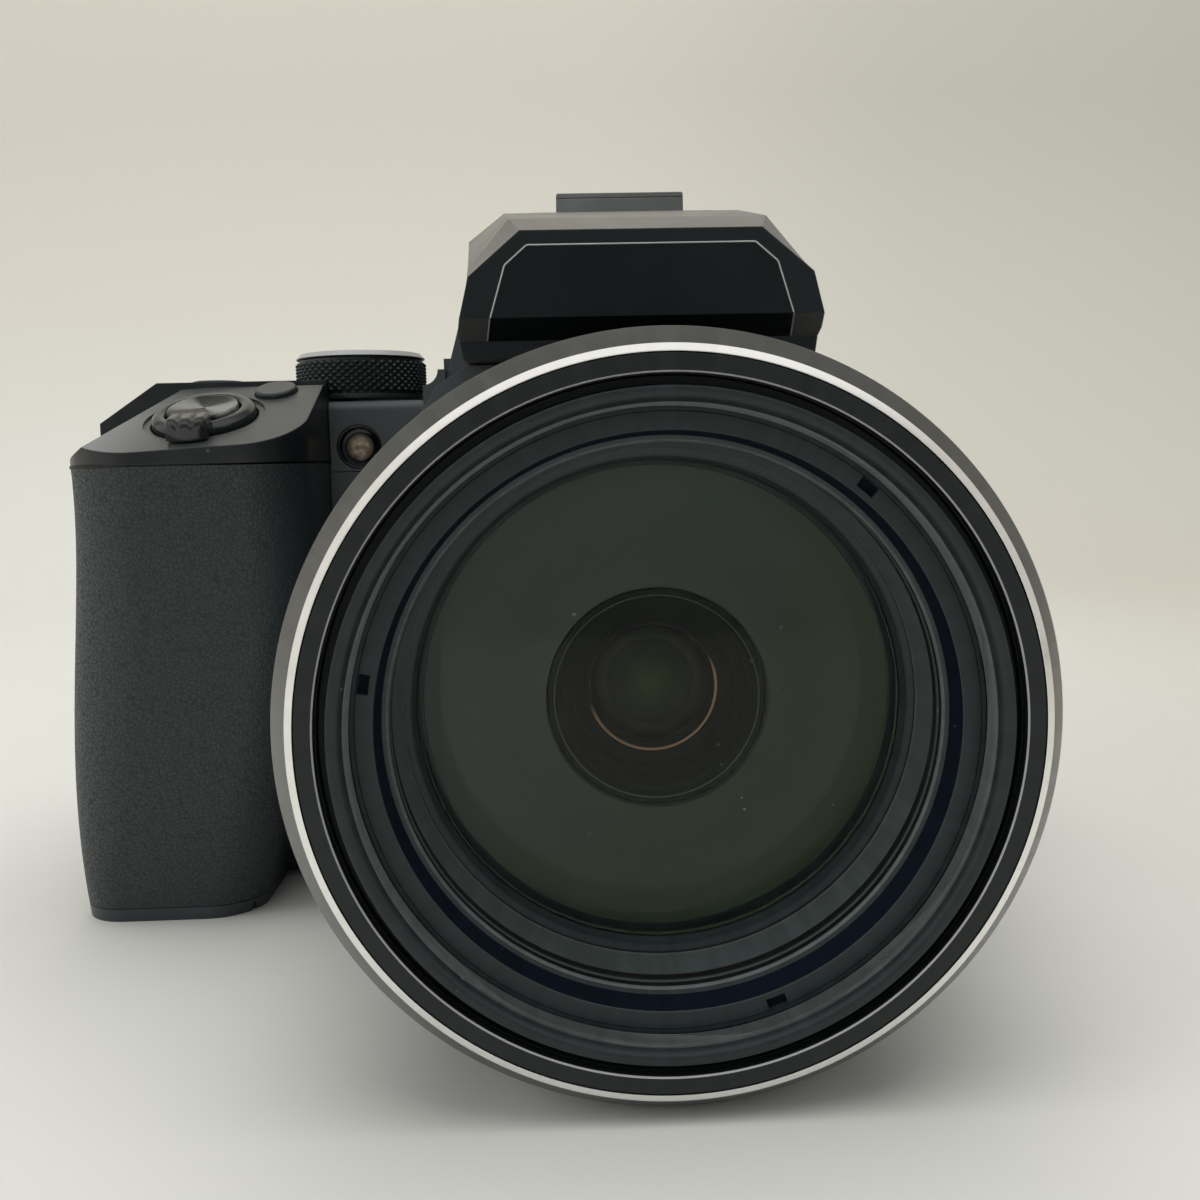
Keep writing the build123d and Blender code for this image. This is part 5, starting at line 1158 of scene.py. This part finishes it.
# frame line and touch glass of the monitor
monitorGlass = {"x": (-26.8, 41.3), "z": (13.2, 60.8), "y": 34.1, "round": 1.2,
                "layers": (("screenFrame", 0.0, 0.36, 0.9), ("screenGlass", 2.6, 0.34, 0.6))}


def addMonitorGlass():
    d = sizesOf(monitorGlass)
    (x0, x1), (z0, z1) = d.x, d.z
    parts = []
    for finish, inset, front, back in d.layers:
        corners = [(x0 + inset, z0 + inset), (x1 - inset, z0 + inset), (x1 - inset, z1 - inset),
                   (x0 + inset, z1 - inset)]
        parts.append((raisedMesh(roundCorners(corners, d.round, 5), front - d.y, back - d.y, upright), finish))
    finishMesh("monitorGlass", "monitor", parts, "monitor_screen")


# curved glass in the eyepiece
eyeGlass = {"x": 10.2, "z": (86.15, 100.5), "front": 38.4, "back": 42.15, "bulge": 0.7, "cells": 10}


def addEyeGlass():
    d = sizesOf(eyeGlass)
    low, high = d.z
    n = d.cells
    spots = [2 * i / n - 1 for i in range(n + 1)]
    bm = bmesh.new()
    grid = [[bm.verts.new((d.x * u, d.back - d.bulge * (u * u + v * v) / 2, (low + high) / 2 + (high - low) / 2 * v))
             for v in spots] for u in spots]
    bridgeRows(bm, grid, closed=False)
    rim = [row[0] for row in grid[:n]] + grid[n][:n] + [row[n] for row in grid[:0:-1]] + grid[0][:0:-1]
    backRim = [bm.verts.new((v.co.x, d.front, v.co.z)) for v in rim]
    bridgeRows(bm, [rim, backRim])
    bm.faces.new(backRim[::-1])
    finishMesh("eyeGlass", "body", [(takeMesh(bm), "eyeCoating")], "eyepiece_lens")


# stage and light
stageSizes = {"floorColour": (0.645, 0.63, 0.59), "wallColour": (0.605, 0.577, 0.505), "front": -1200.0,
              "wall": 750.0, "bend": 350.0, "half": 2200.0, "top": 2200.0, "steps": 12}


def addStage():
    d = sizesOf(stageSizes)
    start = d.wall - d.bend
    curve = [math.pi / 2 * k / d.steps for k in range(d.steps + 1)]
    profile = [(d.front, 0.0), *((start + d.bend * math.sin(a), d.bend * (1 - math.cos(a))) for a in curve),
               (d.wall, d.top)]
    bm = bmesh.new()
    bridgeRows(bm, [[bm.verts.new((x, y, z)) for x in (d.half, -d.half)] for y, z in profile], closed=False)
    for face in bm.faces:
        face.smooth = True
    sweep = addObject("paperSweep", takeMesh(bm))
    tree, place = startMaterial("palePaper", d.floorColour, 0.75, shine=0.2)
    spread = splitPlace(tree, place)
    # painted light and shade on the one paper sweep: the floor and the wall take different tones, and the right side is
    # painted darker
    paper = mixColour(tree, rampBetween(tree, spread[2], -0.02, 0.2), d.floorColour, d.wallColour)
    rightShade = rampBetween(tree, spread[0], 0.0, 0.3)
    setInput(tree, "Base Color", mixColour(tree, rightShade, paper, scaled(d.wallColour, 0.9)))
    sweep.data.materials.append(finishes["palePaper"])


# lamps, in metres and watts; none of them is mirrored in a surface
lamps = {"top": {"place": (0.05, -0.05, 1.25), "size": 1.3, "power": 14.0, "aim": (0, 0, 0)},
         "left": {"place": (-1.4, -0.5, 0.75), "size": 1.1, "power": 8.5, "aim": (0, 0, 0.05)},
         "right": {"place": (1.4, -0.5, 0.9), "size": 1.0, "power": 1.2, "aim": (0, 0, 0.05)}}
surround = {"left": (0.80, 0.78, 0.72), "right": (0.60, 0.585, 0.54), "front": (0.19, 0.215, 0.225),
            "above": (0.40, 0.405, 0.40), "frontAbove": (1.0, 0.99, 0.96), "fill": (0.42, 0.45, 0.46)}


def addLamps():
    for name, lamp in lamps.items():
        data = bpy.data.lights.new(name + "Lamp", "AREA")
        data.shape, data.size, data.energy = "SQUARE", lamp["size"], lamp["power"]
        item = addObject(name + "Lamp", data)
        away = Vector(lamp["place"]) - Vector(lamp["aim"])
        item.matrix_world = Matrix.Translation(lamp["place"]) @ away.to_track_quat("Z", "Y").to_matrix().to_4x4()
        item.visible_glossy = False


# world: dim before the lens and overhead, pale at the sides and behind; matt surfaces get the plain fill
def addWorld():
    d = sizesOf(surround)
    world = bpy.context.scene.world = bpy.data.worlds.new("studio")
    world.use_nodes = True
    tree = world.node_tree
    seen = tree.nodes["Background"]
    toward = splitPlace(tree, addNode(tree, "TexCoord").outputs["Generated"])
    sides = mixColour(tree, rampBetween(tree, toward[0], -0.5, 0.5), d.left, d.right)
    overhead = mixColour(tree, rampBetween(tree, toward[1], -0.25, 0.15), d.frontAbove, d.above)
    walls = mixColour(tree, rampBetween(tree, toward[2], 0.45, 0.8), sides, overhead)
    feed(tree, mixColour(tree, rampBetween(tree, toward[1], -0.62, -0.85), walls, d.front), seen.inputs[0])
    fill = addNode(tree, "Background", {"Color": d.fill, "Strength": 1.0})
    camera, glossy, clear = (addNode(tree, "LightPath").outputs[f"Is {kind} Ray"]
                             for kind in ("Camera", "Glossy", "Transmission"))
    share = mathNode(tree, "MAXIMUM", camera, mathNode(tree, "MAXIMUM", glossy, clear))
    mix = addNode(tree, "MixShader", {0: share, 1: fill.outputs[0], 2: seen.outputs[0]})
    feed(tree, mix.outputs[0], tree.nodes["World Output"].inputs[0])


addCamera()
stages = {
    "finishes on the frame": (buildFinishes, dressNodes),
    "lens pieces": (buildKnurlTree, buildStudTree, addFrontRing, addFacePlate, addFrontTube, addMiddleTube, addBezel,
                    addFrontGlass, addRingPlate, addZoomNose, addCopperRing, addInnerGlass),
    "dials and keys": (addModeDial, addCommandDial, addShutterDisc, addZoomLever, addSideWheels, addStudFields,
                       addKeySigns),
    "lamp, flash and shoe pieces": (addCapSeamShadow, addAssistLamp, addTrimLine, addFlashWindow, addShoeContacts),
    "base and rear pieces": (addScrewHeads, addTripodThread, addMonitorGlass, addEyeGlass),
    "stage and light": (addStage, addLamps, addWorld)}
for stage, makers in stages.items():
    for make in makers:
        make()
    print(stage)
bpy.context.scene.view_settings.view_transform = "Standard"
